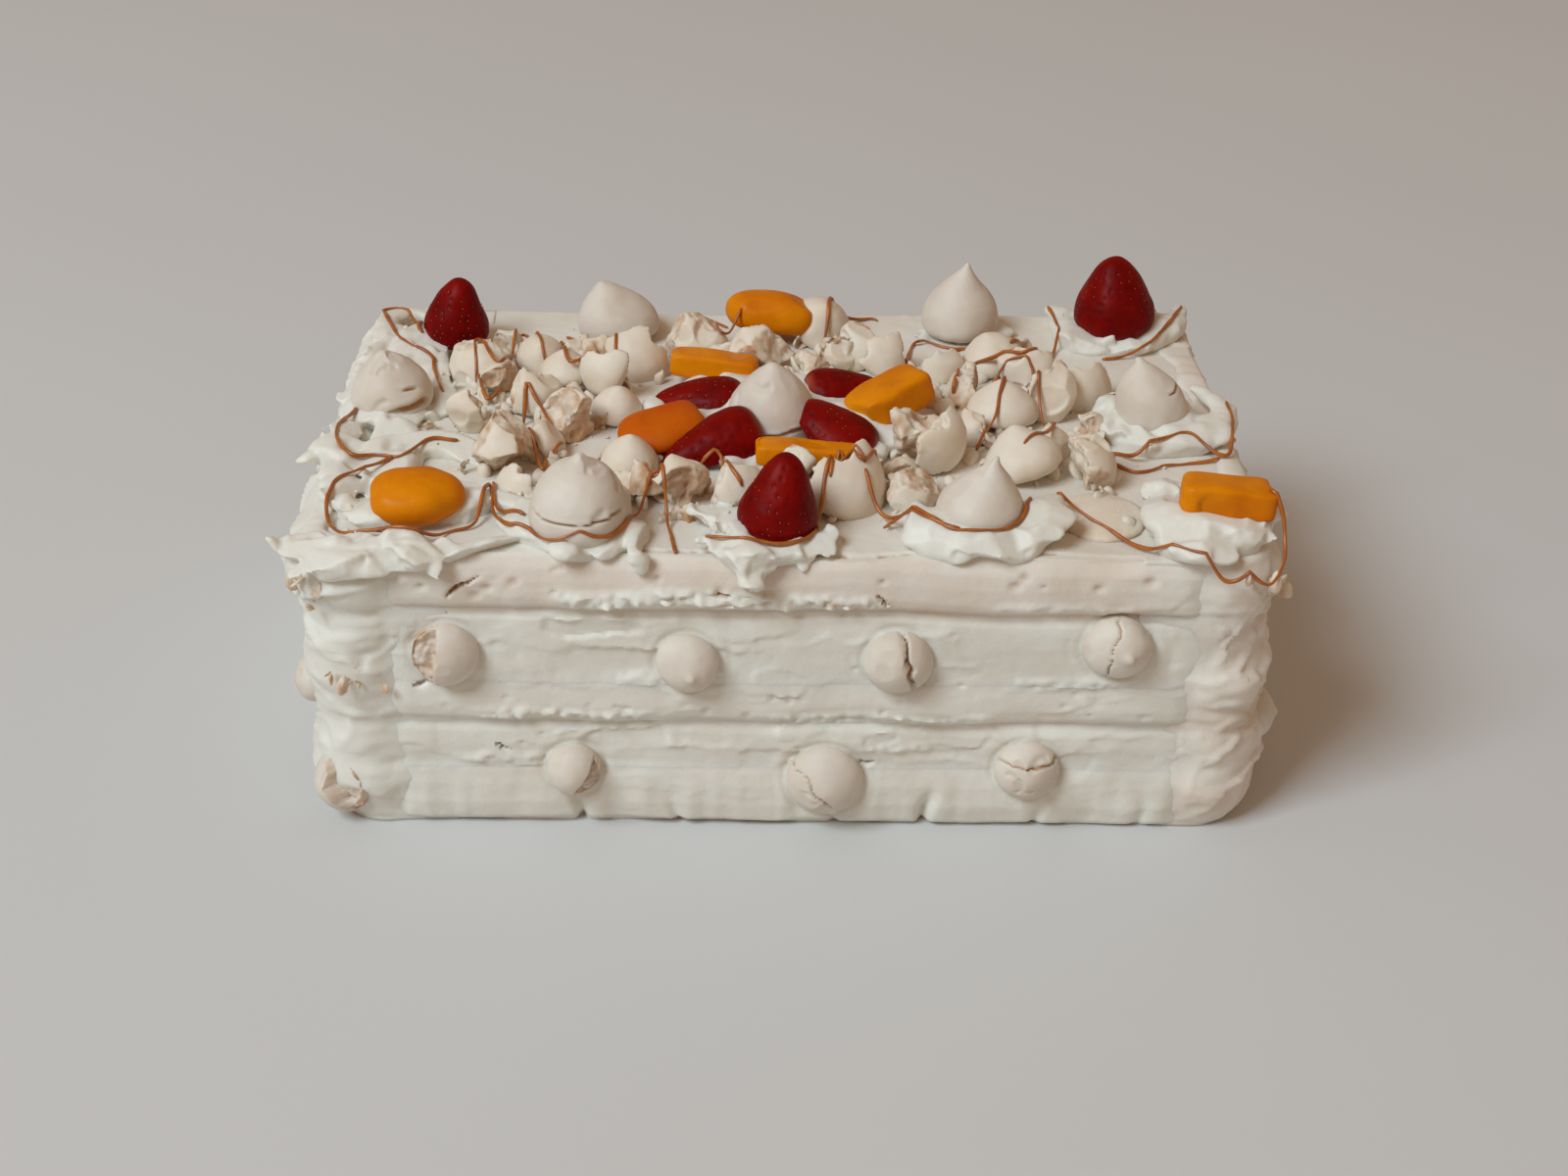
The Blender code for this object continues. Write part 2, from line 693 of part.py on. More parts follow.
def main():
    for leftover in list(bpy.data.objects):
        bpy.data.objects.remove(leftover)
    body = [layer(*row) for row in LAYERS]
    body += [coat("cream_coat_left", -1), coat("cream_coat_right", 1)]
    for row in SIDE_KISSES:
        fit_to(side_kiss(*row), body)
    spreads = [dollop(*row) for row in DOLLOPS]
    spreads += [front_dollop(), left_cream()]
    for i, spread in enumerate(spreads):
        fit_to(spread, body[-3:] + spreads[:i])
    toppings = [kiss(*row) for row in KISSES]
    toppings += [standing_strawberry(*row) for row in STANDING_STRAWBERRIES]
    toppings += [half_strawberry(*row) for row in HALF_STRAWBERRIES]
    toppings += [peach(*row) for row in PEACHES]
    bpy.context.view_layer.update()
    for i, topping in enumerate(toppings):
        cut_below_top(topping)
        fit_to(topping, spreads + toppings[:i])
    heaps = [heap(name, *rows) for name, rows in HEAPS.items()]
    for i, pile in enumerate(heaps):
        fit_to(pile, toppings + spreads + heaps[:i])


main()
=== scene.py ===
"""The looks of the rectangular pavlova: baked meringue layers with knife-smeared cream between
them, and a top of kisses, strawberries, peach, cream dollops, broken meringue and caramel.

Shapes are worked in millimetres, x along the cake, -y its front and z up from the underside,
and become metres when a piece is served to the scene. Places and sizes follow the CAD's.
"""

import math
import random

import bmesh
import bpy
import numpy as np
from mathutils import Euler, Matrix, Vector


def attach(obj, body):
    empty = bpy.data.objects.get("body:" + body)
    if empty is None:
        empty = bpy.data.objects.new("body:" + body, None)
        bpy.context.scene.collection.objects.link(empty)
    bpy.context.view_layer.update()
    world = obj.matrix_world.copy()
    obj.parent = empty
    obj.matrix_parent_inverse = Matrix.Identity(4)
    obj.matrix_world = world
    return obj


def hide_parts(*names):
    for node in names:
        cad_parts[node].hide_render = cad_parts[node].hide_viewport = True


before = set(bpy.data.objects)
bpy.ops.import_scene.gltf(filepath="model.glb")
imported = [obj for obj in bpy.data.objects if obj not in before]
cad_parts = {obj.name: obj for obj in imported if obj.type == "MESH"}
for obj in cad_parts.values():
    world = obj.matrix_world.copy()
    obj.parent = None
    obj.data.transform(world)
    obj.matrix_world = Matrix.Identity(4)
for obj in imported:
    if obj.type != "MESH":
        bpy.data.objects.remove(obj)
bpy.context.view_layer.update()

# The bare cake: height of its top, half its length and depth, and the radius of its corners
MM = 0.001
TOP = 107.0
HALF_X = 159.0
HALF_Y = 101.5
CORNER = 20.0
# A height above everything on the cake
ABOVE_ALL = 165
# Spacing of the points on its sides, and how many run along and across its top
STEP = 0.85
TOP_GRID = (312, 200)

# Sizes of the grain of melted cream, first rough and then finished, and of broken meringue
ROUGH_GRAIN = 0.8
CREAM_GRAIN = 0.68
SHARD_GRAIN = (0.66, 0.8)

# The window: place in metres, side, watts and tint. The room's tint and strength
WINDOW_AT = (-2.35, -2.0, 3.25)
WINDOW_SIDE = 1.8
WINDOW_WATTS = 150
WINDOW_TINT = (0.76, 0.90, 1.0)
ROOM_TINT = (1.0, 0.68, 0.45, 1)
ROOM_STRENGTH = 0.335

# The camera: place in metres, turns in degrees, focal length and frame width in pixels, and
# the width of its film in mm
CAMERA_AT = (-0.0249, -0.7712, 0.4887)
PITCH, YAW, ROLL = 30.333, -1.807, 1.512
FOCAL_PIXELS = 2387.88
FRAME_PIXELS = 1600
FILM = 36

# Height and how far the side stands out there: soft baked edges, cream pulled flat between
SIDE_PROFILE = (
    (0, -2.5), (3, 0.5), (10, 1.8), (18, 1.5), (23, 0.4), (26, -0.5), (34, -0.2), (39, -0.6),
    (41.5, -1.9), (44, -1.5), (46, 0.6), (50, 1.4), (57, 0.8), (62, 0.2), (70, 0), (78, -0.2),
    (83, -0.6), (84, -1.6), (87, -1.6), (89, 0.8), (92, 1.6), (98, 1.4), (103, 0.2),
    (106, -2.0), (107, -3.5),
)
# Height and how creamy the side looks there, from plain baked meringue to white cream
CREAMINESS = ((0, 0.78), (22, 0.82), (27, 1.0), (40, 1.0), (43, 0.62), (50, 0.70), (58, 0.78),
              (64, 0.98), (83, 0.98), (86, 0.35), (90, 0.22), (107, 0.12))
# Notches between the piped lobes of the base, along the front and along the back
BASE_NOTCHES = {-1: (-137, -74, -40, 16, 48.5, 88, 123, 146), 1: (-140, -98, -55, -12, 30, 74, 118)}

# name, bottom, top, and the surface it belongs to
LAYERS = (
    ("meringue_base", 0, 24, "meringue"),
    ("cream_lower", 24, 42, "cream"),
    ("meringue_middle", 42, 59, "meringue"),
    ("cream_upper", 59, 87, "cream"),
    ("meringue_top", 87, 107, "meringue"),
)

# Forms as (share of height, share of radius): a kiss that ends in a point, a round one, one with
# a small nipple, and two pressed into a side, the second with a tip
POINTED = ((0, 0.80), (0.05, 0.93), (0.14, 1.0), (0.28, 0.99), (0.42, 0.90), (0.55, 0.74),
           (0.66, 0.55), (0.76, 0.37), (0.84, 0.23), (0.91, 0.13), (0.96, 0.075), (0.99, 0.04),
           (1, 0))
ROUNDED = ((0, 0.82), (0.06, 0.95), (0.16, 1.0), (0.30, 0.985), (0.46, 0.90), (0.62, 0.74),
           (0.75, 0.56), (0.86, 0.37), (0.94, 0.20), (0.985, 0.09), (1, 0))
NIPPLED = ((0, 0.86), (0.06, 0.95), (0.16, 1.0), (0.32, 0.985), (0.47, 0.92), (0.61, 0.80),
           (0.73, 0.62), (0.82, 0.42), (0.88, 0.26), (0.925, 0.17), (0.965, 0.12), (0.99, 0.07),
           (1, 0))
PRESSED = ((0, 0.84), (0.12, 0.94), (0.28, 1.0), (0.44, 0.99), (0.60, 0.90), (0.74, 0.74),
           (0.85, 0.55), (0.93, 0.35), (0.98, 0.16), (1, 0))
PRESSED_TIP = ((0, 0.84), (0.12, 0.94), (0.26, 1.0), (0.42, 0.98), (0.57, 0.89), (0.70, 0.72),
               (0.80, 0.53), (0.87, 0.33), (0.92, 0.19), (0.96, 0.12), (0.99, 0.06), (1, 0))

# name, x, y, seat above the top, radius, height, lean of the tip, tilt, form,
# cracks as (height share, turn from, turn to, waver, width, depth)
KISSES = (
    ("kiss_front_left", -72.5, -85, 2.5, 16.3, 28, (1, 0), (0, 0), NIPPLED,
     ((0.36, 200, 345, 1.2, 0.32, 1.3),)),
    ("kiss_front_right", 61.5, -80, 2.5, 15.0, 26, (3.5, 1), (0, 4), POINTED, ()),
    ("kiss_left", -145, 6, 2.5, 14.8, 22, (-1, 1), (0, -6), ROUNDED,
     ((0.16, 262, 345, 1.6, 1.5, 2.6), (0.42, 292, 330, 1.4, 0.5, 1.0))),
    ("kiss_right", 132.5, -3, 4, 13.0, 25, (-3, 2), (-8, -8), NIPPLED,
     ((0.45, 300, 355, 2.0, 0.5, 1.0),)),
    ("kiss_back_left", -65, 76, 1.5, 15.6, 22, (-5, 1), (0, -6), ROUNDED, ()),
    ("kiss_back_right", 68.5, 80, 2.5, 15.0, 29, (2, 0), (0, 0), POINTED, ()),
    ("kiss_centre", -7, -10, 3, 16.0, 27, (0, 0), (4, 0), ROUNDED,
     ((0.22, 230, 350, 1.6, 0.6, 1.6),)),
)

# name, x, y, seat, radius, length, tilt about x and y
STANDING_STRAWBERRIES = (
    ("strawberry_front", -7, -87, 2.5, 13.2, 29, (-6, 8)),
    ("strawberry_back_left", -129, 66, 2.5, 12.6, 26, (4, 6)),
    ("strawberry_back_right", 130, 81, 4, 16.0, 30, (0, -3)),
)
# name, x, y, height of the middle, radius, length, turn, nose-up tilt, roll
HALF_STRAWBERRIES = (
    ("strawberry_centre_front_left", -29, -29, 9, 12.5, 37, 205, -8, 0),
    ("strawberry_centre_front_right", 17, -21, 9.5, 15.0, 31, 150, 38, 10),
    ("strawberry_centre_back_left", -33, 9, 7.5, 12.5, 33, 180, 4, 0),
    ("strawberry_centre_back_right", 21, 13, 9, 11.5, 31, 8, 4, 20),
)
# name, x, y, underside, length, width, height, squareness, turn, tilt x and y
PEACHES = (
    ("peach_front_left", -128, -75, 2, 31, 25, 13, 2.1, 8, (3, 0)),
    ("peach_front_right", 144.5, -81, 9, 30, 16, 11, 4.5, -3, (-6, 4)),
    ("peach_back", -7, 74, 4, 34, 22, 14, 2.4, -4, (-12, 6)),
    ("peach_centre_back_left", -28, 33, 3, 32, 13, 9, 4.0, -6, (-8, 4)),
    ("peach_centre_left", -46, -19, 3, 31, 20, 9, 2.8, 20, (14, -10)),
    ("peach_centre_right", 38, -1, 5, 30, 18, 13, 3.6, 35, (-10, -14)),
    ("peach_centre_front", 7, -39, 3, 39, 11, 8, 3.6, -4, (-6, 2)),
)

# Spoon and knife strokes of cream: x, y, height above the top and radius along each
CREAM_STROKES = {
    "dollop_front": (
        ((-14, -89, 3, 8), (-22, -84, 4, 6.5), (-29, -77, 5, 4.5), (-34, -76, 6, 2.5)),
        ((-17, -94, 3, 8), (-25, -95, 2, 6), (-29, -99, 1, 4)),
        ((-14, -97, 2, 8), (-15, -101, 0, 8), (-15, -105, -4, 6.5), (-14, -105, -9, 4.5)),
        ((-4, -95, 1, 5), (1, -104, 2, 3.5), (-4, -106, -3, 3)),
        ((-2, -93, 3, 7), (6, -91, 3.5, 5.5), (11, -89, 4, 3.5)),
        ((3, -97, 2, 5), (10, -96, 1, 3.5)),
        ((-7, -80, 2, 10), (-12, -84, 2, 10)),
        ((-20, -97, 0, 8), (-10, -100, -1, 9), (2, -97, 0, 7)),
    ),
    "dollop_front_left": (
        ((-89, -85, 2, 8), (-73, -92, 1.5, 9), (-56, -88, 1.5, 8)),
        ((-56, -81, 4, 3), (-52, -100, 3, 3.5), (-51, -103, -3, 2.2)),
        ((-95, -72, 2, 6), (-101, -61, 2, 5)),
        ((-80, -80, 1, 11), (-66, -80, 1, 11)),
    ),
    "dollop_front_right": (
        ((59, -84, 3, 10), (49, -84, 3, 8.5), (42, -84, 5, 6.5), (41, -80, 9, 3)),
        ((47, -91, 2, 8), (61, -95, 2, 8.5), (75, -92, 3, 9)),
        ((75, -89, 4, 9), (84, -82, 6, 8), (88, -71, 8, 4)),
        ((62, -78, 1, 12), (66, -80, 1, 11)),
    ),
    "dollop_corner": (
        ((131, -87, 4, 10), (140, -89, 5, 10), (149, -89, 5, 9)),
        ((127, -79, 5, 9), (127, -61, 5, 7)),
        ((127, -92, 3, 7), (131, -101, 5, 5), (143, -102, 4, 4)),
        ((152, -70, 4, 10), (161, -69, 4, 7)),
        ((141, -68, 3, 11), (147, -75, 3, 11)),
        ((133, -83, 5, 9.5), (145, -83, 5, 9.5), (155, -82, 5, 9)),
    ),
    "dollop_right": (
        ((122, -12, 3, 7), (116, -3, 4, 6), (117, 8, 6, 4)),
        ((127, -18, 2, 6), (139, -20, 3, 7), (152, -14, 4, 7), (159, -1, 6, 5), (154, 17, 7, 3)),
        ((135, -2, 2, 10), (141, -6, 2, 10)),
    ),
    "dollop_back_corner": (
        ((112, 92, 3, 6), (112, 73, 3, 6.5), (122, 67, 3, 7), (136, 69, 3, 7),
         (151, 80, 3.5, 6.5), (158, 93, 5, 4)),
        ((129, 86, 2, 11), (137, 86, 2, 11)),
    ),
    "dollop_back_right": (
        ((67, 80, 1.5, 9), (74, 80, 1.5, 9)),
        ((60, 80, 1.5, 6), (53, 71, 1, 4)),
        ((79, 78, 1.5, 7), (85, 80, 1.5, 5)),
    ),
    "cream_centre": (
        ((-44, -10, 0, 9), (-30, -24, 0, 9), (-8, -30, 0, 9), (18, -30, 0, 9), (34, -14, 0, 9)),
        ((34, -14, 0, 9), (36, 8, 0, 8), (18, 22, 0, 9), (-8, 26, 0, 9), (-32, 22, 0, 9)),
        ((-32, 22, 0, 9), (-46, 8, 0, 8), (-44, -10, 0, 9)),
        ((-20, -8, -1, 13), (0, -6, -1, 14), (18, -4, -1, 13)),
        ((-22, 8, -1, 12), (0, 10, -1, 13), (16, 6, -1, 12)),
        ((-4, 14, 3, 6), (10, 20, 4, 5), (14, 26, 5, 3)),
    ),
    "cream_top_left": (
        ((-140, -79, 1.5, 9), (-128, -72, 1.5, 12), (-113, -71, 1.5, 9), (-102, -61, 2, 6)),
        ((-140, -79, 1.5, 7), (-153, -70, 2, 6), (-157, -52, 2, 6)),
        ((-161, -24, 3, 6), (-157, -39, 3, 7), (-141, -33, 3, 7), (-125, -26, 2.5, 7),
         (-107, -34, 1, 5)),
        ((-159, 8, 3, 6), (-150, -2, 2, 8), (-135, 1, 2.5, 6), (-126, 5, 3, 4)),
        ((-155, 81, 4, 5), (-155, 62, 4, 5), (-145, 60, 3, 7), (-130, 63, 2, 7)),
        ((-155, 65, 3, 5), (-160, 35, 2, 6), (-159, 10, 2, 6)),
        ((-142, 63, 2, 7), (-131, 32, 2, 6), (-127, 11, 2, 5)),
        ((-159, 10, 2, 6), (-160, -6, 2, 6), (-160, -22, 2, 6)),
        ((-158, -45, 2, 6), (-155, -59, 2, 6)),
        ((-146, 60, 0, 9), (-144, 20, -1, 10), (-142, -20, -1, 10), (-138, -60, 0, 9)),
        ((-162, -97, 1, 6), (-152, -97, 2, 6), (-139, -98, 1.5, 6), (-126, -100, 1, 5.5),
         (-110, -98, 1.5, 5), (-95, -93, 1.5, 4)),
        ((-155, -104, -3, 5), (-144, -104, -4, 5), (-132, -104, -2, 4), (-116, -103, -1, 3.5)),
        ((-158, -95, 0, 7), (-167, -97, 1, 4.5), (-174, -95, 3, 2)),
        ((-150, -101, 0, 6), (-158, -106, -2, 4), (-164, -108, -5, 2)),
        ((-130, -98, 2, 7), (-122, -103, 0, 5), (-117, -107, -5, 2.5)),
        ((-160, -30, 2, 6), (-168, -36, 3, 4), (-173, -38, 2, 2)),
    ),
}

# Kisses pressed into the sides: name, side, place along it, height, radius, thickness, how far
# the crown stands out, and how it broke
SIDE_KISSES = (
    ("front_upper_1", "front", -117, 70, 12.0, 13, 8.5, "snapped"),
    ("front_upper_2", "front", -36, 68, 11.2, 13, 9.0, "whole"),
    ("front_upper_3", "front", 35, 69, 12.0, 13, 9.0, "shelled"),
    ("front_upper_4", "front", 109, 75, 12.4, 14, 9.5, "tipped"),
    ("front_lower_1", "front", -75, 24, 10.5, 12, 8.0, "holed"),
    ("front_lower_2", "front", 12, 20, 14.2, 15, 9.5, "split"),
    ("front_lower_3", "front", 82, 25, 11.8, 13, 8.5, "creamed"),
    ("corner_lower", "front_left_corner", 0, 15, 12.0, 15, 12.0, "pair"),
    ("left_1", "left", -78, 47, 10.5, 13, 13.0, "whole"),
    ("left_2", "left", 22, 70, 11.0, 13, 12.0, "tipped"),
    ("right_1", "right", -80, 36, 10.5, 13, 13.0, "whole"),
    ("right_2", "right", -66, 14, 10.0, 13, 11.5, "split"),
    ("back_upper_1", "back", -108, 70, 12.0, 13, 9.5, "whole"),
    ("back_upper_2", "back", -34, 70, 11.5, 13, 9.0, "split"),
    ("back_upper_3", "back", 41, 68, 12.0, 13, 9.0, "tipped"),
    ("back_upper_4", "back", 112, 71, 11.5, 13, 9.0, "shelled"),
    ("back_lower_1", "back", -72, 23, 12.0, 13, 9.0, "whole"),
    ("back_lower_2", "back", 6, 22, 13.0, 14, 9.5, "split"),
    ("back_lower_3", "back", 80, 24, 11.5, 13, 9.0, "tipped"),
)

# Broken meringue, heap by heap: x, y, height of the middle, radius, turn, tilt, share left,
# and what kind of piece it is
SHARDS = {
    "shards_left": (
        (-117, 40, 6, 12.5, -110, 25, 0.62, "half"),
        (-118, -5, 9, 10.5, -75, 78, 0.34, "half"),
        (-106, 22, 6, 9, 160, 40, 0.6, "half"),
        (-94, 45, 6, 8.5, 10, 30, 0.9, "whole"),
        (-95, 8, 9, 9.5, -60, 20, 0.8, "half"),
        (-84, 32, 7, 9, 300, 0, 1.0, "whole"),
        (-70, 21, 9, 10.5, -95, 66, 0.5, "cup"),
        (-57, 39, 6, 12, -100, -42, 0.5, "cup"),
        (-63, 2, 6, 8.5, 40, 10, 1.0, "whole"),
        (-79, -12, 8, 12.5, -85, 20, 0.55, "lump"),
        (-101, -38, 8, 14.5, -70, 18, 0.6, "lump"),
        (-90, -26, 5, 9, 30, 20, 0.7, "half"),
        (-97, -60, 4, 8.5, 210, -30, 0.6, "cup"),
        (-57, -39, 6, 9.5, 60, 5, 1.0, "whole"),
        (-53, -57, 6, 9, -60, 35, 0.5, "lump"),
        (-108, 58, 4, 8, 60, 30, 0.6, "half"),
        (-74, 52, 4, 8.5, 200, 20, 0.6, "lump"),
    ),
    "shards_front": (
        (-40, -64, 8, 11.5, -85, 12, 0.6, "lump"),
        (-22, -62, 7, 10.5, -60, 30, 0.5, "half"),
        (1, -48, 8, 9.5, -120, 60, 0.5, "half"),
        (20, -66, 8, 15, -72, -25, 0.22, "leaf"),
        (38, -60, 7, 10, -40, 30, 0.5, "lump"),
        (-6, -60, 4, 7, 20, 40, 0.6, "lump"),
    ),
    "shards_right": (
        (44, -28, 9, 13.5, -80, 55, 0.5, "lump"),
        (54, -38, 11, 12, -20, 78, 0.24, "leaf"),
        (37, -44, 4, 7, 150, 40, 0.7, "lump"),
        (78, 3, 8, 12, 180, 5, 1.0, "whole"),
        (80, -38, 8, 13, 50, -22, 0.8, "whole"),
        (92, 10, 10, 12, -50, 62, 0.42, "half"),
        (88, 55, 5, 9, 80, 20, 0.7, "half"),
        (88, 35, 8, 11, -70, 60, 0.5, "half"),
        (110, 18, 6, 12.5, -80, -20, 0.7, "cup"),
        (101, -46, 9, 12, 15, 30, 0.55, "half"),
        (65, 20, 7, 10, -60, 35, 0.55, "lump"),
        (78, 49, 7, 11, -90, 15, 0.7, "whole"),
        (90, -25, 5, 9, 340, 30, 0.6, "half"),
        (105, -71, 1, 14, 0, 4, 1.0, "disc"),
        (47, 25, 4, 7, 70, 20, 1.0, "whole"),
        (66, -10, 5, 9, -100, 30, 0.6, "half"),
        (108, -10, 4, 8, 20, 30, 0.6, "half"),
        (60, 38, 5, 8, -60, 30, 0.6, "cup"),
    ),
    "shards_back": (
        (-37, 58, 8, 12, -60, 20, 0.7, "half"),
        (-11, 47, 8, 12, -88, 28, 0.55, "lump"),
        (14, 75, 8, 11.5, 40, 30, 0.8, "whole"),
        (27, 55, 8, 11, -70, 30, 0.7, "half"),
        (8, 40, 5, 7.5, -120, 10, 0.8, "lump"),
        (37, 42, 7, 10, -90, -30, 0.55, "cup"),
        (17, 50, 7, 9, -60, 60, 0.5, "half"),
        (8, 27, 4, 6, 0, 0, 1.0, "whole"),
        (-24, 46, 5, 7, 120, 20, 0.7, "lump"),
    ),
}

# Where thin caramel was drizzled: x and y of each run
DRIZZLE = (
    ((-137, 61), (-150, 84), (-158, 83), (-157, 76), (-148, 53), (-136, 43), (-133, 31),
     (-128, 11)),
    ((-157, -2), (-161, -20), (-160, -33), (-154, -43), (-146, -41), (-136, -43), (-129, -30),
     (-118, -29)),
    ((-139, -43), (-147, -50), (-156, -62), (-157, -79), (-150, -90), (-142, -92), (-124, -95),
     (-115, -86), (-107, -81), (-104, -62), (-101, -80), (-96, -89), (-90, -92), (-78, -99),
     (-65, -98), (-56, -84), (-51, -68), (-49, -61), (-46, -62), (-44, -72), (-40, -98)),
    ((-103, -59), (-100, -77), (-90, -86)),
    ((-117, 24), (-118, 43), (-107, 21), (-104, 66), (-98, 62), (-95, 47), (-92, 37)),
    ((-117, 24), (-111, 9), (-106, 18)),
    ((-105, 1), (-99, -7), (-88, -44), (-86, -36), (-81, -27)),
    ((-97, -5), (-95, 1), (-86, -15)),
    ((-88, 68), (-83, 27), (-77, 26), (-73, 30), (-66, 33), (-65, 56), (-60, 60), (-49, 54)),
    ((-86, 72), (-78, 64), (-77, 62), (-82, 68)),
    ((-30, -97), (-24, -98), (-16, -101), (-4, -99), (4, -95), (6, -89)),
    ((6, -90), (11, -67), (15, -57), (20, -58), (24, -63)),
    ((12, -70), (13, -63), (16, -44), (19, -56), (24, -63), (33, -38)),
    ((24, -65), (28, -74), (36, -81), (44, -90), (54, -95)),
    ((-32, -40), (-25, -40), (-23, -62), (-18, -70)),
    ((-35, 91), (-30, 92), (-23, 86)),
    ((-26, 54), (-18, 67)),
    ((17, 93), (17, 78), (13, 55), (5, 50)),
    ((17, 78), (21, 90), (34, 94), (37, 92)),
    ((45, 45), (50, 68), (59, 68), (66, 66), (72, 66), (81, 70), (89, 56), (85, 46)),
    ((65, 61), (69, 65), (77, 68)),
    ((61, 16), (62, 20), (69, 40), (81, 34), (92, 32), (106, 68), (107, 80), (105, 92)),
    ((74, 25), (83, 29), (91, 25), (91, 3), (94, -17), (90, -32), (80, -45)),
    ((83, 25), (75, -7), (66, -27)),
    ((30, -79), (38, -82), (46, -90), (54, -96), (65, -94), (74, -88), (86, -60)),
    ((111, -25), (117, -22), (123, -28), (131, -25), (142, -21), (152, -28), (157, -27),
     (160, -13), (160, 1)),
    ((115, -29), (123, -36), (136, -31), (153, -28)),
    ((123, 58), (130, 59), (140, 62), (151, 76), (159, 94)),
)
# The run that hangs free at the front right corner: x, y and lowest height
HANGING_LOOP = (
    (89, -71, 108), (98, -76, 108), (109, -86, 108), (121, -98, 108), (133, -105.5, 104),
    (143, -108, 98.5), (150, -109, 96), (156, -107.5, 98), (160.5, -103, 103), (163, -96, 108),
    (162.5, -89, 113), (158, -84, 116),
)


def lattice(i, j, k, seed):
    """A repeatable number from 0 to 1 for each whole-number point."""
    mixed = (i * 374761393 + j * 668265263 + k * 362437 + seed * 1274126177) & 0xFFFFFFFF
    mixed = ((mixed ^ (mixed >> 13)) * 1103515245) & 0xFFFFFFFF
    mixed = ((mixed ^ (mixed >> 16)) * 1274126177) & 0xFFFFFFFF
    return ((mixed >> 8) & 0xFFFF) / 65535.0


def waves(points, size, seed=0):
    """Smooth unevenness from -1 to 1 whose swells are about size across, in mm."""
    scaled = np.asarray(points, float) / np.asarray(size, float) + 100.5
    cell = np.floor(scaled).astype(np.int64)
    t = scaled - cell
    t = t * t * (3 - 2 * t)
    total = np.zeros(len(scaled))
    for corner in range(8):
        step = np.array([corner & 1, corner >> 1 & 1, corner >> 2])
        share = np.prod(np.where(step, t, 1 - t), axis=1)
        total += share * lattice(*(cell + step).T, seed)
    return 2 * total - 1


def ramp(value, low, high):
    """0 below low, 1 above high, smooth between."""
    t = np.clip((np.asarray(value, float) - low) / (high - low), 0, 1)
    return t * t * (3 - 2 * t)


def spots(points, centres, radii):
    """For each point, 1 at the middle of the nearest spot falling to 0 at its rim."""
    shade = np.zeros(len(points))
    for centre, radius in zip(centres, radii):
        away = np.linalg.norm(points - np.asarray(centre), axis=1) / radius
        shade = np.maximum(shade, 1 - ramp(away, 0.15, 1.0))
    return shade


def points_of(mesh):
    flat = np.empty(len(mesh.vertices) * 3, np.float32)
    mesh.vertices.foreach_get("co", flat)
    return flat.reshape(-1, 3).astype(float)


def normals_of(mesh):
    flat = np.empty(len(mesh.vertices) * 3, np.float32)
    mesh.vertex_normals.foreach_get("vector", flat)
    return flat.reshape(-1, 3).astype(float)


def set_points(mesh, points):
    mesh.vertices.foreach_set("co", np.asarray(points, np.float32).ravel())
    mesh.update()


def paint(mesh, name, values):
    """Keeps a value for each point of a shape, which its material reads."""
    kept = mesh.attributes.get(name) or mesh.attributes.new(name, "FLOAT", "POINT")
    kept.data.foreach_set("value", np.clip(values, 0, 1).astype(np.float32))


def mesh_of(bm):
    """Turns a bmesh into a mesh whose faces point outwards."""
    bmesh.ops.recalc_face_normals(bm, faces=bm.faces)
    mesh = bpy.data.meshes.new("shape")
    bm.to_mesh(mesh)
    bm.free()
    return mesh


def serve(name, mesh, material, node=None, crisp=0):
    """Puts a finished shape in the scene in metres, riding on the cake and standing for its node."""
    mesh.name = name
    mesh.transform(Matrix.Scale(MM, 4))
    mesh.shade_smooth()
    if crisp:
        mesh.set_sharp_from_angle(angle=math.radians(crisp))
    mesh.materials.clear()
    mesh.materials.append(material)
    piece = bpy.data.objects.new(name, mesh)
    bpy.context.scene.collection.objects.link(piece)
    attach(piece, "root")
    if node:
        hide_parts(node)
    return piece


def melted(bm, voxel, passes=0):
    """Melts overlapping closed shapes into one skin, softened a little."""
    mesh = mesh_of(bm)
    pot = bpy.data.objects.new("melting", mesh)
    bpy.context.scene.collection.objects.link(pot)
    skin = pot.modifiers.new("skin", "REMESH")
    skin.mode = "VOXEL"
    skin.voxel_size = voxel
    if passes:
        soften = pot.modifiers.new("soften", "SMOOTH")
        soften.iterations = passes
        soften.factor = 0.5
    bpy.context.view_layer.update()
    graph = bpy.context.evaluated_depsgraph_get()
    made = bpy.data.meshes.new_from_object(pot.evaluated_get(graph))
    bpy.data.objects.remove(pot)
    bpy.data.meshes.remove(mesh)
    return made


def poured(bm, mesh):
    """Adds a mesh to a bmesh and lets go of it."""
    bm.from_mesh(mesh)
    bpy.data.meshes.remove(mesh)


def ball(bm, centre, radius, squash, turn=(0, 0, 0), rough=None):
    """A round or flattened blob, turned by degrees, its points shaken a little if rough is given."""
    blob = bpy.data.meshes.get("blob")
    if not blob:
        made = bmesh.new()
        bmesh.ops.create_icosphere(made, subdivisions=2, radius=1)
        blob = bpy.data.meshes.new("blob")
        made.to_mesh(blob)
        made.free()
    copy = blob.copy()
    if rough:
        points = points_of(copy)
        stretch = [1 + rough.uniform(-0.2, 0.2) for _ in range(3)]
        bumps = 0.28 * waves(points, 0.7, rough.randrange(999))
        set_points(copy, points * stretch + bumps[:, None])
    angles = Euler([math.radians(a) for a in turn])
    scale = Vector(squash) * radius
    copy.transform(Matrix.LocRotScale(Vector(centre), angles, scale))
    poured(bm, copy)


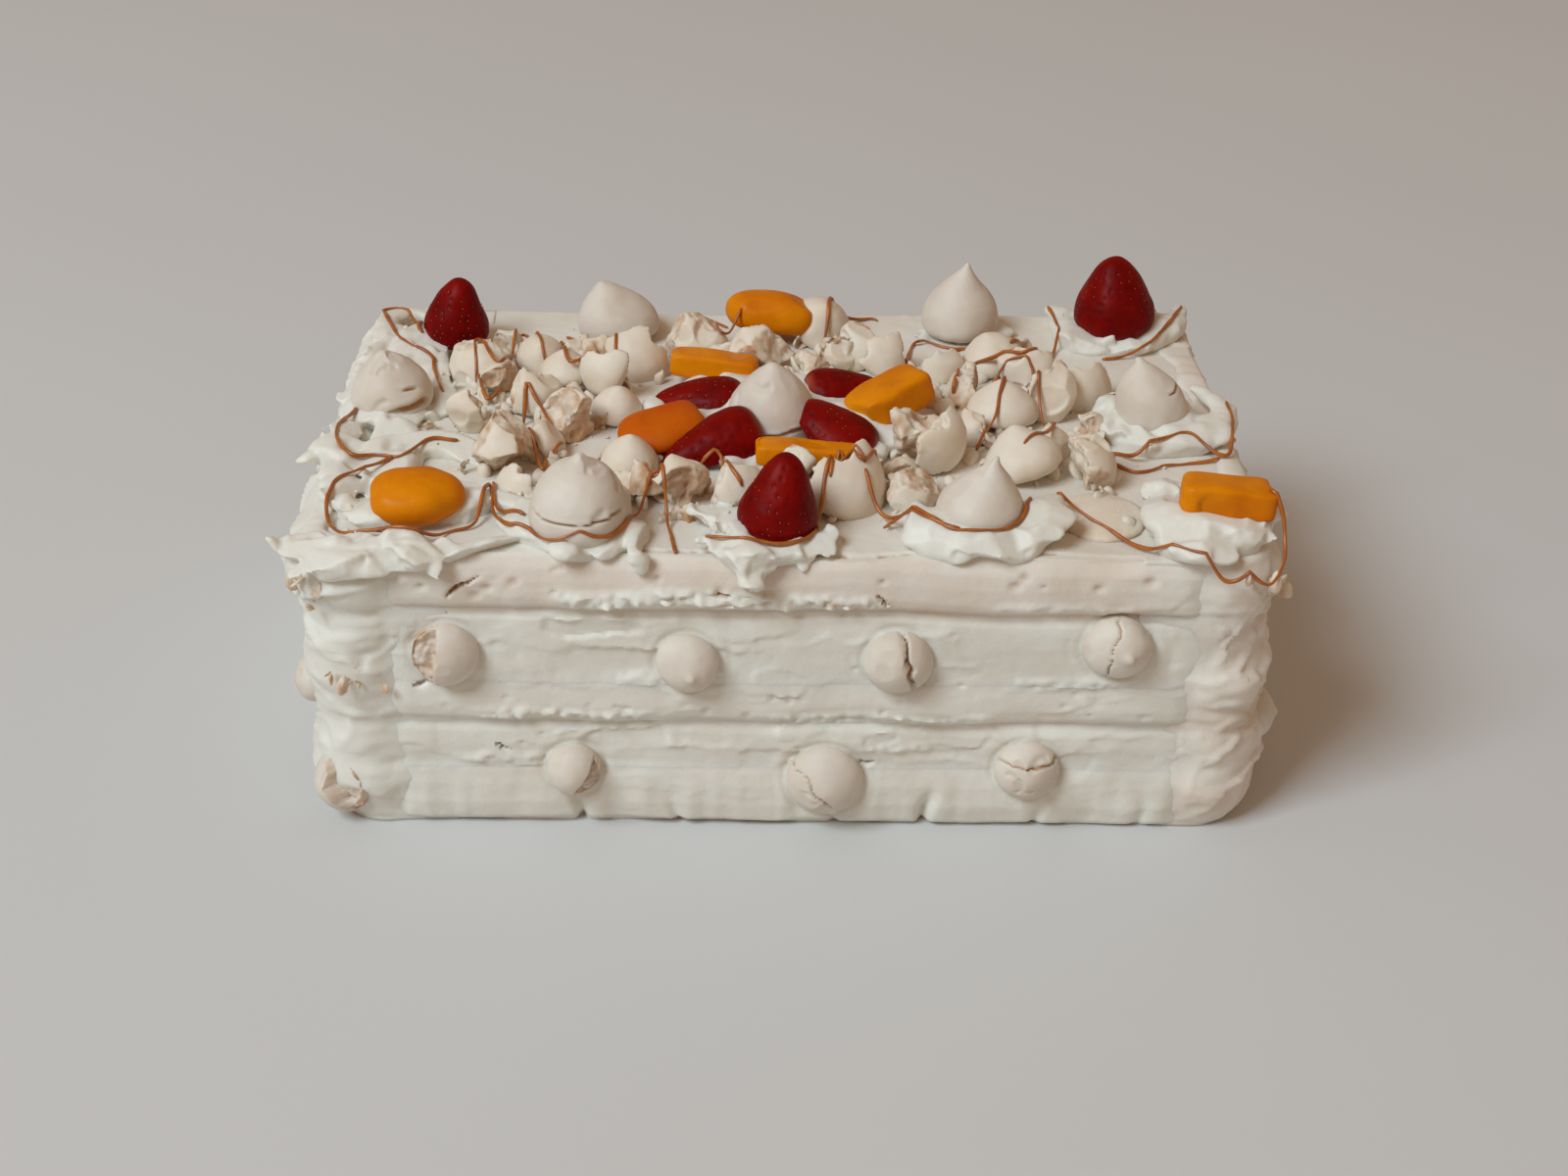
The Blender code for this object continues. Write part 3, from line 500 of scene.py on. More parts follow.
def through(points, per_mm=1.0):
    """Points spaced along a smooth curve through the given ones."""
    pts = np.asarray(points, float)
    padded = np.vstack([2 * pts[0] - pts[1], pts, 2 * pts[-1] - pts[-2]])
    out = []
    for a, b, c, d in zip(padded, padded[1:], padded[2:], padded[3:]):
        count = max(2, int(np.linalg.norm((c - b)[:3]) * per_mm))
        for t in np.arange(count) / count:
            out.append(0.5 * (2 * b + (c - a) * t + (2 * a - 5 * b + 4 * c - d) * t * t
                              + (3 * b - a - 3 * c + d) * t ** 3))
    return np.array(out + [pts[-1]])


def stroke(bm, run, draw):
    """A stroke of cream: blobs that overlap along a path of x, y, height and radius."""
    for x, y, z, radius in through(run, 0.55):
        ball(bm, (x, y, TOP + z), radius * (1 + draw.uniform(-0.08, 0.08)), (1, 1, 0.85))


def outward(points):
    """Unit direction out of the cake's rounded rectangle at each point, level."""
    inner = np.array([HALF_X - CORNER, HALF_Y - CORNER])
    core = np.clip(points[:, :2], -inner, inner)
    out = points[:, :2] - core
    length = np.linalg.norm(out, axis=1, keepdims=True)
    out = np.where(length > 1e-6, out / np.maximum(length, 1e-6), 0)
    return np.column_stack([out, np.zeros(len(points))])


def rounded(points):
    """Points of the square from -1 to 1 spread over the cake's rounded rectangle."""
    size = np.array([HALF_X, HALF_Y])
    flat = points[:, :2] * size
    corner = (np.abs(flat) - (size - CORNER)) / CORNER
    inside = (corner > 0).all(axis=1)
    a, b = np.clip(corner, 0, 1).T
    bent = np.column_stack([a * np.sqrt(1 - b * b / 2), b * np.sqrt(1 - a * a / 2)])
    spread = np.sign(flat) * (size - CORNER + CORNER * bent)
    return np.column_stack([np.where(inside[:, None], spread, flat), points[:, 2]])


def rim_place(walk):
    """Points and outward directions along the rounded rectangle, by distance from front middle."""
    straight_x, straight_y = HALF_X - CORNER, HALF_Y - CORNER
    arc = math.pi * CORNER / 2
    legs = (straight_x, arc, 2 * straight_y, arc, 2 * straight_x, arc, 2 * straight_y, arc)
    walk = np.asarray(walk, float) % (sum(legs) + straight_x)
    places, facing = np.zeros((len(walk), 3)), np.zeros((len(walk), 3))
    starts = np.concatenate([[0], np.cumsum(legs)])
    corners = ((1, -1, -90), (1, 1, 0), (-1, 1, 90), (-1, -1, 180))
    for leg in range(9):
        end = starts[leg + 1] if leg < 8 else np.inf
        here = (walk >= starts[leg]) & (walk < end)
        along = walk[here] - starts[leg]
        if leg % 2:
            sx, sy, start = corners[leg // 2]
            angle = np.radians(start + 90 * along / arc)
            out = np.column_stack([np.cos(angle), np.sin(angle), 0 * angle])
            foot = np.array([sx * straight_x, sy * straight_y, 0])
            places[here] = foot + CORNER * out
            facing[here] = out
            continue
        angle = math.radians(-90 + 90 * (leg // 2))
        out = np.array([math.cos(angle), math.sin(angle), 0])
        ahead = np.array([-out[1], out[0], 0])
        first = {0: (0, -HALF_Y), 2: (HALF_X, -straight_y), 4: (straight_x, HALF_Y),
                 6: (-HALF_X, straight_y), 8: (-straight_x, -HALF_Y)}[leg]
        places[here] = np.array([*first, 0]) + along[:, None] * ahead
        facing[here] = out
    return places, facing


def pits(points, count, band, seed, sizes=(1.0, 2.6)):
    """Burst air bubbles scattered over the front and back inside a band of heights."""
    draw = random.Random(seed)
    shade = np.zeros(len(points))
    for _ in range(count):
        along, side = draw.uniform(-HALF_X, HALF_X), draw.choice((-1, 1))
        centre = (along, side * HALF_Y, draw.uniform(*band))
        near = np.abs(points[:, 0] - along) < 4
        away = (points[near] - centre) / np.array([1.3, 3.0, 1.0])
        away = np.linalg.norm(away, axis=1) / draw.uniform(*sizes)
        shade[near] = np.maximum(shade[near], 1 - ramp(away, 0.2, 1))
    return shade


def swipes(count, seed, walk, rise, length, width, turn, relief):
    """Strokes of a palette knife at random places along the side, as rows for knife_work."""
    draw = random.Random(seed)
    rows = []
    for _ in range(count):
        at, out = rim_place([draw.uniform(*walk)])
        rows.append((
            at[0] + [0, 0, draw.uniform(*rise)], out[0], math.radians(draw.uniform(-turn, turn)),
            draw.uniform(*length), draw.uniform(*width), draw.uniform(-0.5, 0.8) * relief,
            draw.uniform(-1, 1) * relief, draw.uniform(0.15, 0.7) * relief,
        ))
    return rows


def knife_work(points, rows, seed):
    """Heights left by knife strokes one over another: flat, tilted, and pushed up at one edge."""
    height = np.zeros(len(points))
    for i, (centre, out, turn, length, width, level, tilt, ridge) in enumerate(rows):
        away = points - centre
        level_way = np.array([-out[1], out[0], 0])
        along = math.cos(turn) * level_way + np.array([0, 0, math.sin(turn)])
        across = np.cross(out, along)
        a, b = away @ along / (length / 2), away @ across / (width / 2)
        near = (np.abs(a) < 1.4) & (np.abs(b) < 1.8) & (np.abs(away @ out) < 14)
        if not near.any():
            continue
        a, b = a[near], b[near]
        frayed = points[near]
        b = b + 0.35 * waves(frayed, 8, seed + 3 * i) + 0.12 * waves(frayed, 2.6, seed + i)
        a = a + 0.22 * waves(frayed, 6, seed + 5 * i)
        reach = (np.abs(a) ** 2.6 + np.abs(b) ** 4) ** 0.3
        inside = 1 - ramp(reach, 0.84, 1.02)
        swipe = level + tilt * b * (0.6 + 0.4 * a) - 0.3 * ridge * (1 - b * b)
        lip = ridge * np.exp(-((b - 0.93) / 0.15) ** 2) * (1 - ramp(np.abs(a), 0.6, 1.0))
        height[near] = height[near] * (1 - inside) + swipe * inside + lip
    return height


RIM_LENGTH = 2 * (2 * HALF_X + 2 * HALF_Y - 4 * CORNER) + math.tau * CORNER
SIDE_SWIPES = (
    swipes(150, 61, (0, RIM_LENGTH), (8, 98), (30, 95), (9, 22), 5, 0.8)
    + swipes(60, 62, (0, RIM_LENGTH), (26, 84), (12, 40), (5, 12), 16, 1.0)
)
END_SWIPES = {
    1: swipes(120, 63, (112, 392), (4, 104), (18, 60), (9, 22), 40, 1.9)
    + swipes(80, 64, (118, 386), (8, 104), (10, 28), (5, 11), 70, 1.9)
    + swipes(16, 68, (126, 176), (8, 98), (10, 24), (8, 15), 80, 2.4),
    -1: swipes(120, 65, (616, 896), (4, 104), (18, 60), (9, 22), 40, 1.9)
    + swipes(80, 66, (622, 890), (8, 104), (10, 28), (5, 11), 70, 1.9)
    + swipes(9, 67, (832, 885), (26, 94), (30, 46), (16, 26), 65, 2.6),
}

# Ragged ridges where cream was dragged along the front: height, from x, to x, reach, strength
RUFFLES = (
    (92.5, -84, 34, 4.6, 1.15), (46, -112, -44, 4.0, 0.9), (44.5, -14, 72, 3.2, 0.7),
    (61, -66, -18, 3.4, 0.5), (89, 60, 118, 2.6, 0.5), (27, -118, -70, 3.4, 0.6),
    (33, 20, 60, 3, 0.4), (60, 70, 120, 3.4, 0.6),
)
# Dark slits in the front: x and height of both ends, and width
GASHES = (
    (-117, 91.5, -108.5, 99.5, 1.0), (-110, 97, -104.5, 100.5, 0.7), (-101.5, 33.5, -96.5, 30.5, 0.6),
    (-129, 57, -122, 59, 0.9), (22, 27, 31, 25.5, 0.7), (-27, 95, -19, 93.5, 0.5),
    (27, 95, 32, 90, 0.6),
)


def ruffled(points, z, x_from, x_to, height):
    """Where along the front cream was dragged into a ragged ridge."""
    along = ramp(points[:, 0], x_from, x_from + 12) * (1 - ramp(points[:, 0], x_to - 12, x_to))
    centre = z + 1.8 * waves(points, (19, 400, 400), 31 + int(z))
    across = 1 - ramp(np.abs(points[:, 2] - centre), height * 0.3, height)
    return along * across * (points[:, 1] < -90)


def gashed(points):
    """1 inside a dark slit of the front."""
    shade = np.zeros(len(points))
    flat = points[:, [0, 2]]
    for x0, z0, x1, z1, width in GASHES:
        start, run = np.array([x0, z0]), np.array([x1 - x0, z1 - z0])
        t = np.clip((flat - start) @ run / (run @ run), 0, 1)
        near = start + t[:, None] * run + 0.5 * waves(points, 2.5, int(abs(x0)))[:, None]
        thin = width * (1 - 0.8 * np.abs(2 * t - 1))
        away = np.linalg.norm(flat - near, axis=1) / thin
        shade = np.maximum(shade, (1 - ramp(away, 0.4, 1.3)) * (points[:, 1] < -90))
    return shade


def lobe_notches(points):
    """How deep the piped lobes of the base are parted at each point."""
    x, y, z = points.T
    side = np.where(y < 0, -1, 1)
    depth = np.zeros(len(points))
    for face, notches in BASE_NOTCHES.items():
        for i, notch in enumerate(notches):
            bend = notch + 1.6 * np.sin(z / 5 + i)
            cut = np.exp(-((x - bend) / (1.4 + 0.10 * z)) ** 2)
            deep = 4.0 if i % 3 == 1 else 1.6
            depth += (side == face) * cut * deep * (1 - ramp(z, 5, 21))
    return depth


def round_side_kisses(points):
    """The groove and the pushed-up rim of cream round each kiss in the front and the back."""
    x, y, z = points.T
    out = np.zeros(len(points))
    for _, face, along, height, radius, *_ in SIDE_KISSES:
        if face in ("front", "back"):
            near = y < 0 if face == "front" else y >= 0
            away = np.hypot(x - along, z - height) - radius
            out -= near * 0.8 * np.exp(-((away - 0.2) / 1.0) ** 2)
            out += near * 0.5 * np.exp(-((away - 3.5) / 1.6) ** 2) * waves(points, 8, 16)
    return out


def side_surface(points):
    """How far the side stands out at each point in mm, how creamy it is, and how brown: browned in
    baking, and painted shade in the grooves below the meringue layers.
    """
    x, _, z = points.T
    warp = 1.5 * waves(points, (46, 46, 60), 1) + 0.6 * waves(points, (14, 14, 40), 2)
    heights, reach = np.array(SIDE_PROFILE).T
    out = np.interp(z + warp, heights, reach)
    cream = np.maximum(
        ramp(z + warp, 20, 30) * (1 - ramp(z + warp, 41, 43)),
        ramp(z + warp, 57, 66) * (1 - ramp(z + warp, 84.5, 86)),
    )
    baked = 1 - cream
    marks = knife_work(points, SIDE_SWIPES, 600)
    out += (0.55 + 0.45 * cream) * marks
    out += cream * (0.14 * waves(points, (50, 50, 3), 3) + 0.9 * waves(points, (36, 36, 14), 5))
    out += baked * (0.9 * waves(points, (34, 34, 20), 8) + 0.45 * waves(points, 10, 9))
    creamy = np.interp(z + warp, *np.array(CREAMINESS).T)
    creamy = creamy + 0.30 * waves(points, (34, 34, 7), 18) + 0.16 * waves(points, (12, 12, 4), 19)
    creamy += 0.5 * ramp(np.abs(x) + 9 * waves(points, (24, 24, 14), 20), 108, 132)
    out += 0.09 * waves(points, 3, 10) + 0.05 * waves(points, 1.6, 11)
    out -= lobe_notches(points)
    folds = waves(points, (8, 8, 70), 12) + 0.5 * waves(points, (4, 4, 50), 13)
    out += 0.75 * folds * (1 - ramp(z, 12, 26)) * ramp(z, 0, 4)
    holes = pits(points, 60, (89, 104), 5) + 0.8 * pits(points, 30, (46, 57), 6)
    holes += 0.7 * pits(points, 34, (28, 82), 7, (0.8, 1.8))
    out -= 1.0 * holes
    rough = sum(strength * ruffled(points, *row) for *row, strength in RUFFLES)
    ragged = 0.6 + 2.3 * np.abs(waves(points, (5, 5, 2.6), 14)) + 0.9 * waves(points, 1.9, 15)
    out += np.clip(rough, 0, 1.2) * ragged
    out += round_side_kisses(points)
    slit = gashed(points)
    out -= 3.0 * slit
    creamy = np.clip(creamy + rough, 0, 1)
    # Painted shade: the grooves just below the middle and top meringue layers are browned along these
    # seams.
    seam = np.exp(-((z + warp - 85.8) / 1.3) ** 2) + np.exp(-((z + warp - 42.6) / 1.3) ** 2)
    brown_share = 0.22 * baked * (z > 80) + 0.10 * baked + 0.14 * seam + 0.30 * holes + 1.0 * slit
    brown_share += 0.22 * ramp(waves(points, (14, 14, 8), 17), 0.35, 0.9)
    return out, creamy, brown_share


def bare_side(points):
    """1 where the layers show, 0 where an end's cream covers them."""
    return ramp(138 - np.abs(points[:, 0]), -4, 8)


def ring_down(bm, edges, steps, drop):
    """Extrudes a closed run of edges downwards in even steps and closes it underneath."""
    for _ in range(steps):
        made = bmesh.ops.extrude_edge_only(bm, edges=edges)["geom"]
        verts = [g for g in made if isinstance(g, bmesh.types.BMVert)]
        edges = [g for g in made if isinstance(g, bmesh.types.BMEdge)]
        bmesh.ops.translate(bm, verts=verts, vec=(0, 0, -drop))
    bmesh.ops.contextual_create(bm, geom=edges)


def seam_mark(points, y, x_from, x_to, seed):
    """A fine broken line in the skin of the top, where one sheet of meringue ends."""
    wander = y + 1.6 * waves(points, (30, 900, 900), seed) + 0.5 * waves(points, (6, 900, 900), seed)
    along = ramp(points[:, 0], x_from, x_from + 6) * (1 - ramp(points[:, 0], x_to - 6, x_to))
    return along * np.exp(-((points[:, 1] - wander) / 0.8) ** 2)


def top_surface(points, edge, bare):
    """How much higher the top's skin is at each point, and how browned in the baking."""
    level = 1.0 * waves(points, (46, 46, 900), 21) + 0.5 * waves(points, (16, 16, 900), 22)
    level += 0.14 * waves(points, (3, 3, 900), 23) - 0.9 * edge * (1 - bare)
    seam = seam_mark(points, -97.5, -60, 92, 24) + 0.8 * seam_mark(points, -79, 28, 112, 25)
    dots = ramp(waves(points, (1.6, 1.6, 900), 26), 0.0, 0.35)
    level -= seam * (0.5 + 0.9 * dots)
    level += 0.8 * (ramp(points[:, 1], -99, -96) - 1) * ramp(points[:, 0], -70, -55)
    level += 0.7 * ramp(points[:, 1], -79.6, -78.6) * ramp(points[:, 0], 26, 34)
    cloud = 0.5 + 0.5 * waves(points, (24, 24, 900), 27)
    return level, 0.05 + 0.16 * cloud + 0.75 * seam * (0.35 + dots)


def layer(name, bottom, top, finish):
    """One layer right through the cake, worked where it shows."""
    bm = bmesh.new()
    if top == TOP:
        bmesh.ops.create_grid(bm, x_segments=TOP_GRID[0], y_segments=TOP_GRID[1], size=1)
        start = [edge for edge in bm.edges if edge.is_boundary]
    else:
        made = bmesh.ops.create_circle(bm, segments=int(RIM_LENGTH / STEP), radius=1)["verts"]
        start = list(bm.edges)
        for vert in made:
            square = max(abs(vert.co.x), abs(vert.co.y))
            vert.co = (vert.co.x / square, vert.co.y / square, 0)
        bmesh.ops.contextual_create(bm, geom=start)
    steps = round((top - bottom) / STEP)
    ring_down(bm, start, steps, (top - bottom) / steps)
    mesh = mesh_of(bm)
    points = rounded(points_of(mesh))
    points[:, 2] += top
    out, creamy, brown_share = side_surface(points)
    bare = bare_side(points)
    rim = (np.abs(points[:, :2]) - [HALF_X, HALF_Y]).max(axis=1)
    corner = np.clip(np.abs(points[:, :2]) - [HALF_X - CORNER, HALF_Y - CORNER], 0, None)
    edge = np.maximum(ramp(rim, -9, 0), ramp(np.linalg.norm(corner, axis=1), CORNER - 9, CORNER))
    push = edge * (out * bare - 1.5 * (1 - bare))
    moved = points + outward(points) * push[:, None]
    if top == TOP:
        on_top = points[:, 2] > TOP - 0.1
        level, baked = top_surface(points, edge, bare)
        moved[:, 2] += on_top * level
        brown_share = np.where(on_top, baked, brown_share)
        smeared = 0.60 + 0.4 * ramp(-points[:, 0], 60, 110) + 0.25 * waves(points, (26, 26, 900), 28)
        creamy = np.where(on_top, smeared, creamy)
    set_points(mesh, moved)
    paint(mesh, "creamy", creamy)
    paint(mesh, "toast_and_shade", brown_share)
    serve(f"{name}_worked", mesh, BAKED, name, 55)


class Tone:
    """A socket in a material that can stand in a sum."""

    def __init__(self, pot, socket):
        self.pot = pot
        self.socket = socket

    def sum(self, operation, first, second):
        return self.pot.node("ShaderNodeMath", {"operation": operation}, {0: first, 1: second})

    def __add__(self, other):
        return self.sum("ADD", self, other)

    def __sub__(self, other):
        return self.sum("SUBTRACT", self, other)

    def __rsub__(self, other):
        return self.sum("SUBTRACT", other, self)

    def __mul__(self, other):
        return self.sum("MULTIPLY", self, other)

    __radd__ = __add__
    __rmul__ = __mul__


class Pot:
    """A pot of material: its nodes, mixed by name and number."""

    def __init__(self, name, roughness, **constants):
        self.material = bpy.data.materials.new(name)
        self.material.use_nodes = True
        self.tree = self.material.node_tree
        self.shader = self.tree.nodes["Principled BSDF"]
        self.shader.inputs["Roughness"].default_value = roughness
        for socket, value in constants.items():
            self.shader.inputs[socket.replace("_", " ")].default_value = value

    def node(self, kind, settings=None, values=None, output=0):
        made = self.tree.nodes.new(kind)
        for key, value in (settings or {}).items():
            setattr(made, key, value)
        for key, value in (values or {}).items():
            if isinstance(value, Tone):
                self.tree.links.new(value.socket, made.inputs[key])
            else:
                made.inputs[key].default_value = value
        return Tone(self, made.outputs[output])

    def place(self):
        return self.node("ShaderNodeTexCoord", output="Object")

    def grain(self, scale, detail=2.0, rough=0.5, stretch=None):
        where = self.place()
        if stretch:
            where = self.node("ShaderNodeMapping", {}, {"Vector": where, "Scale": stretch})
        values = {"Vector": where, "Scale": scale, "Detail": detail, "Roughness": rough}
        return self.node("ShaderNodeTexNoise", {}, values)

    def kept(self, name):
        return self.node("ShaderNodeAttribute", {"attribute_name": name}, output="Fac")

    def between(self, share, low, high):
        """0 to 1 as share goes from low to high."""
        return self.node(
            "ShaderNodeMapRange", {"interpolation_type": "SMOOTHSTEP"},
            {"Value": share, "From Min": low, "From Max": high},
        )

    def mix(self, share, first, second):
        values = {0: share, 6: first, 7: second}
        values = {k: (*v, 1) if isinstance(v, tuple) else v for k, v in values.items()}
        return self.node("ShaderNodeMix", {"data_type": "RGBA"}, values, output=2)

    def relief(self, height, distance, strength=1.0):
        return self.node(
            "ShaderNodeBump", {}, {"Height": height, "Distance": distance, "Strength": strength}
        )

    def finish(self, **links):
        for socket, tone in links.items():
            self.tree.links.new(tone.socket, self.shader.inputs[socket.replace("_", " ")])
        return self.material


def baked_and_cream():
    """Meringue and cream together: warm and matt where baked, whiter and silkier where cream."""
    pot = Pot("baked_meringue_and_cream", 0.6, Subsurface_Weight=0.22, Subsurface_Scale=0.006,
              Subsurface_Radius=(1.0, 0.72, 0.5))
    creamy, toast_and_shade = pot.kept("creamy"), pot.kept("toast_and_shade")
    cloud = pot.grain(38, 3, 0.55)
    fine = pot.grain(420, 2)
    speck = pot.grain(1300, 2)
    baked = pot.mix(pot.between(cloud, 0.35, 0.7), (0.79, 0.70, 0.61), (0.73, 0.625, 0.525))
    cream = pot.mix(pot.between(cloud, 0.3, 0.7), (0.80, 0.78, 0.70), (0.76, 0.73, 0.64))
    ground = pot.mix(creamy, baked, cream)
    # Brown for baking, and as painted shade in the side's grooves and on the right end.
    shade = pot.between(toast_and_shade + 0.25 * fine - 0.12, 0.35, 1.1)
    ground = pot.mix(shade, ground, (0.52, 0.29, 0.135))
    rough = 0.68 - 0.20 * creamy + 0.10 * fine
    height = 0.5 * fine + 0.35 * speck
    return pot.finish(Base_Color=ground, Roughness=rough, Normal=pot.relief(height, 0.0005, 0.5))


def kiss_skin(name, light, dark):
    """The smooth dry skin of a kiss, tan and crumbly where it is broken, and tan as painted shade low
    in the heaps.
    """
    pot = Pot(name, 0.55, Subsurface_Weight=0.2, Subsurface_Scale=0.004,
              Subsurface_Radius=(1.0, 0.7, 0.48))
    toast_and_shade = pot.kept("toast_and_shade")
    cloud = pot.grain(60, 3, 0.55)
    fine = pot.grain(520, 3)
    skin = pot.mix(pot.between(cloud, 0.35, 0.7), light, dark)
    shade = pot.between(toast_and_shade + 0.3 * fine - 0.15, 0.12, 1.0)
    skin = pot.mix(shade, skin, (0.56, 0.31, 0.15))
    crumb = pot.grain(1100, 3, 0.65)
    height = 0.35 * fine + toast_and_shade * crumb * 1.6
    rough = 0.52 + 0.3 * toast_and_shade + 0.1 * fine
    return pot.finish(Base_Color=skin, Roughness=rough, Normal=pot.relief(height, 0.0005, 0.55))


def strawberry_skin():
    """Deep red glossy skin, darker in blotches and, as painted shade, in its seed dimples; paler
    where it was cut from its stem.
    """
    pot = Pot("strawberry_skin", 0.36, Coat_Roughness=0.25, Specular_IOR_Level=0.06)
    cloud = pot.grain(85, 3, 0.6)
    fine = pot.grain(700, 2)
    pale, deep = pot.kept("pale"), pot.kept("deep")
    skin = pot.mix(pot.between(cloud, 0.3, 0.72), (0.225, 0.003, 0.001), (0.135, 0.001, 0.001))
    # Painted shade: darker in the seed dimples.
    skin = pot.mix(deep, skin, (0.075, 0.003, 0.003))
    skin = pot.mix(pale, skin, (0.55, 0.16, 0.08))
    rough = 0.38 + 0.16 * cloud
    return pot.finish(Base_Color=skin, Roughness=rough, Coat_Weight=0.05 * cloud,
                      Normal=pot.relief(fine, 0.0003, 0.25))


def seed_husk():
    pot = Pot("seed_husk", 0.5)
    cloud = pot.grain(300, 2)
    tint = pot.mix(cloud, (0.30, 0.06, 0.012), (0.42, 0.13, 0.03))
    return pot.finish(Base_Color=tint, Roughness=0.45 + 0.2 * cloud)


def peach_flesh():
    """Tinned peach: warm amber, wet, redder where the stone was."""
    pot = Pot("peach_flesh", 0.4, Coat_Roughness=0.2, Specular_IOR_Level=0.09,
              Subsurface_Weight=0.1, Subsurface_Scale=0.003, Subsurface_Radius=(1.0, 0.3, 0.03))
    cloud = pot.grain(70, 3, 0.55)
    fibre = pot.grain(260, 3, 0.6, (1.0, 0.25, 1.0))
    ripe = pot.kept("ripe")
    flesh = pot.mix(pot.between(cloud, 0.3, 0.75), (0.78, 0.255, 0.001), (0.66, 0.185, 0.001))
    flesh = pot.mix(ripe, flesh, (0.50, 0.055, 0.002))
    rough = 0.36 + 0.2 * fibre
    return pot.finish(Base_Color=flesh, Roughness=rough, Coat_Weight=0.07 * cloud,
                      Normal=pot.relief(fibre, 0.0006, 0.4))


def caramel_thread():
    pot = Pot("caramel_thread", 0.3, Coat_Roughness=0.1)
    cloud = pot.grain(180, 2)
    tint = pot.mix(pot.between(cloud, 0.3, 0.7), (0.46, 0.135, 0.012), (0.32, 0.078, 0.007))
    return pot.finish(Base_Color=tint, Roughness=0.3 + 0.2 * cloud, Coat_Weight=0.1 + 0.15 * cloud)


def pale_floor():
    pot = Pot("pale_floor", 0.8)
    cloud = pot.grain(3, 2)
    tint = pot.mix(cloud, (0.62, 0.62, 0.61), (0.65, 0.65, 0.64))
    return pot.finish(Base_Color=tint)


BAKED = baked_and_cream()
KISS = kiss_skin("kiss_skin", (0.73, 0.66, 0.57), (0.67, 0.585, 0.485))
BROKEN = kiss_skin("broken_meringue_skin", (0.80, 0.72, 0.60), (0.75, 0.635, 0.49))
STRAWBERRY = strawberry_skin()
SEED = seed_husk()
PEACH = peach_flesh()
CARAMEL = caramel_thread()


def turned(form, radius, height, segments, rows):
    """A closed form turned about z from (share of height, share of radius), from its base up."""
    outline = through([(t * height, r * radius, 0) for t, r in form], 4)[:, :2]
    outline = np.vstack([(outline[0, 0], 0), outline])
    walk = np.concatenate([[0], np.cumsum(np.linalg.norm(np.diff(outline, axis=0), axis=1))])
    bm = bmesh.new()
    bmesh.ops.create_uvsphere(bm, u_segments=segments, v_segments=rows, radius=1)
    mesh = mesh_of(bm)
    points = points_of(mesh)
    share = np.arccos(np.clip(-points[:, 2], -1, 1)) / math.pi * walk[-1]
    flat = np.hypot(points[:, 0], points[:, 1])
    reach = np.maximum(np.interp(share, walk, outline[:, 1]), 0) / np.maximum(flat, 1e-9)
    reach[flat < 1e-4] = 0
    points = np.column_stack([points[:, :2] * reach[:, None], np.interp(share, walk, outline[:, 0])])
    set_points(mesh, points)
    return mesh


def cut_away(bm, point, direction):
    """Cuts a closed shape by a plane and closes the side that direction points to."""
    bmesh.ops.bisect_plane(bm, geom=[*bm.verts, *bm.edges, *bm.faces], plane_co=point,
                           plane_no=direction, clear_inner=True)
    rim = [edge for edge in bm.edges if edge.is_boundary]
    bmesh.ops.holes_fill(bm, edges=rim, sides=0)


def swiped(points, normals, count, size, depth, seed, slant=0.35):
    """Flattens a soft surface in places, as a knife or a spoon leaves it."""
    draw = random.Random(seed)
    for _ in range(count):
        i = draw.randrange(len(points))
        facing = normals[i] + [draw.uniform(-slant, slant) for _ in range(3)]
        facing /= np.linalg.norm(facing)
        away = points - (points[i] - facing * draw.uniform(0.1, 1.0) * depth)
        above = away @ facing
        beside = np.linalg.norm(away - above[:, None] * facing, axis=1)
        mask = (above > 0) * (1 - ramp(beside / (size * draw.uniform(0.6, 1.4)), 0.8, 1.0))
        mask = mask * (1 - ramp(above, 1.6 * depth, 2.6 * depth)) * (normals @ facing > 0)
        points = points - facing * (above * mask)[:, None]
    return points


def crack(points, normals, height, rows, seed):
    """Presses wavering cracks into a kiss: returns the moved points and how tan they show."""
    brown_share = np.zeros(len(points))
    angle = np.degrees(np.arctan2(points[:, 1], points[:, 0])) % 360
    for i, (share, start, end, waver, width, depth) in enumerate(rows):
        middle = (start + end) / 2
        off = np.abs((angle - middle + 180) % 360 - 180)
        along = 1 - ramp(off, (end - start) / 2 - 14, (end - start) / 2)
        line = share * height + waver * np.sin(np.radians(angle * 2.3 + 40 * i + seed))
        line = line + waver * 0.8 * waves(points, (4.5, 4.5, 40), seed + i)
        away = np.abs(points[:, 2] - line) / (width * (0.6 + 0.4 * along))
        gap = along * (1 - ramp(away, 0.35, 1.5))
        points = points - normals * (depth * gap)[:, None]
        lip = along * np.exp(-((away - 2.2) / 1.0) ** 2) * (points[:, 2] > line)
        points = points + normals * (0.35 * lip)[:, None]
        brown_share = np.maximum(brown_share, gap)
    return points, brown_share


def kiss_shape(form, radius, height, lean, seed, cracks=(), segments=120, rows=70):
    """One piped kiss standing on z = 0."""
    mesh = turned(form, radius, height, segments, rows)
    points, normals = points_of(mesh), normals_of(mesh)
    t = points[:, 2] / height
    out = 0.05 * radius * waves(points, radius * 0.9, seed) + 0.16 * waves(points, 4, seed + 1)
    out += 0.05 * waves(points, 1.4, seed + 2)
    points += normals * (out * ramp(1 - t, 0, 0.25))[:, None]
    points = swiped(points, normals, 7, radius * 0.45, 0.5, seed)
    points, brown_share = crack(points, normals, height, cracks, seed)
    points[:, 0] += lean[0] * t * t
    points[:, 1] += lean[1] * t * t
    set_points(mesh, points)
    paint(mesh, "toast_and_shade", brown_share)
    return mesh


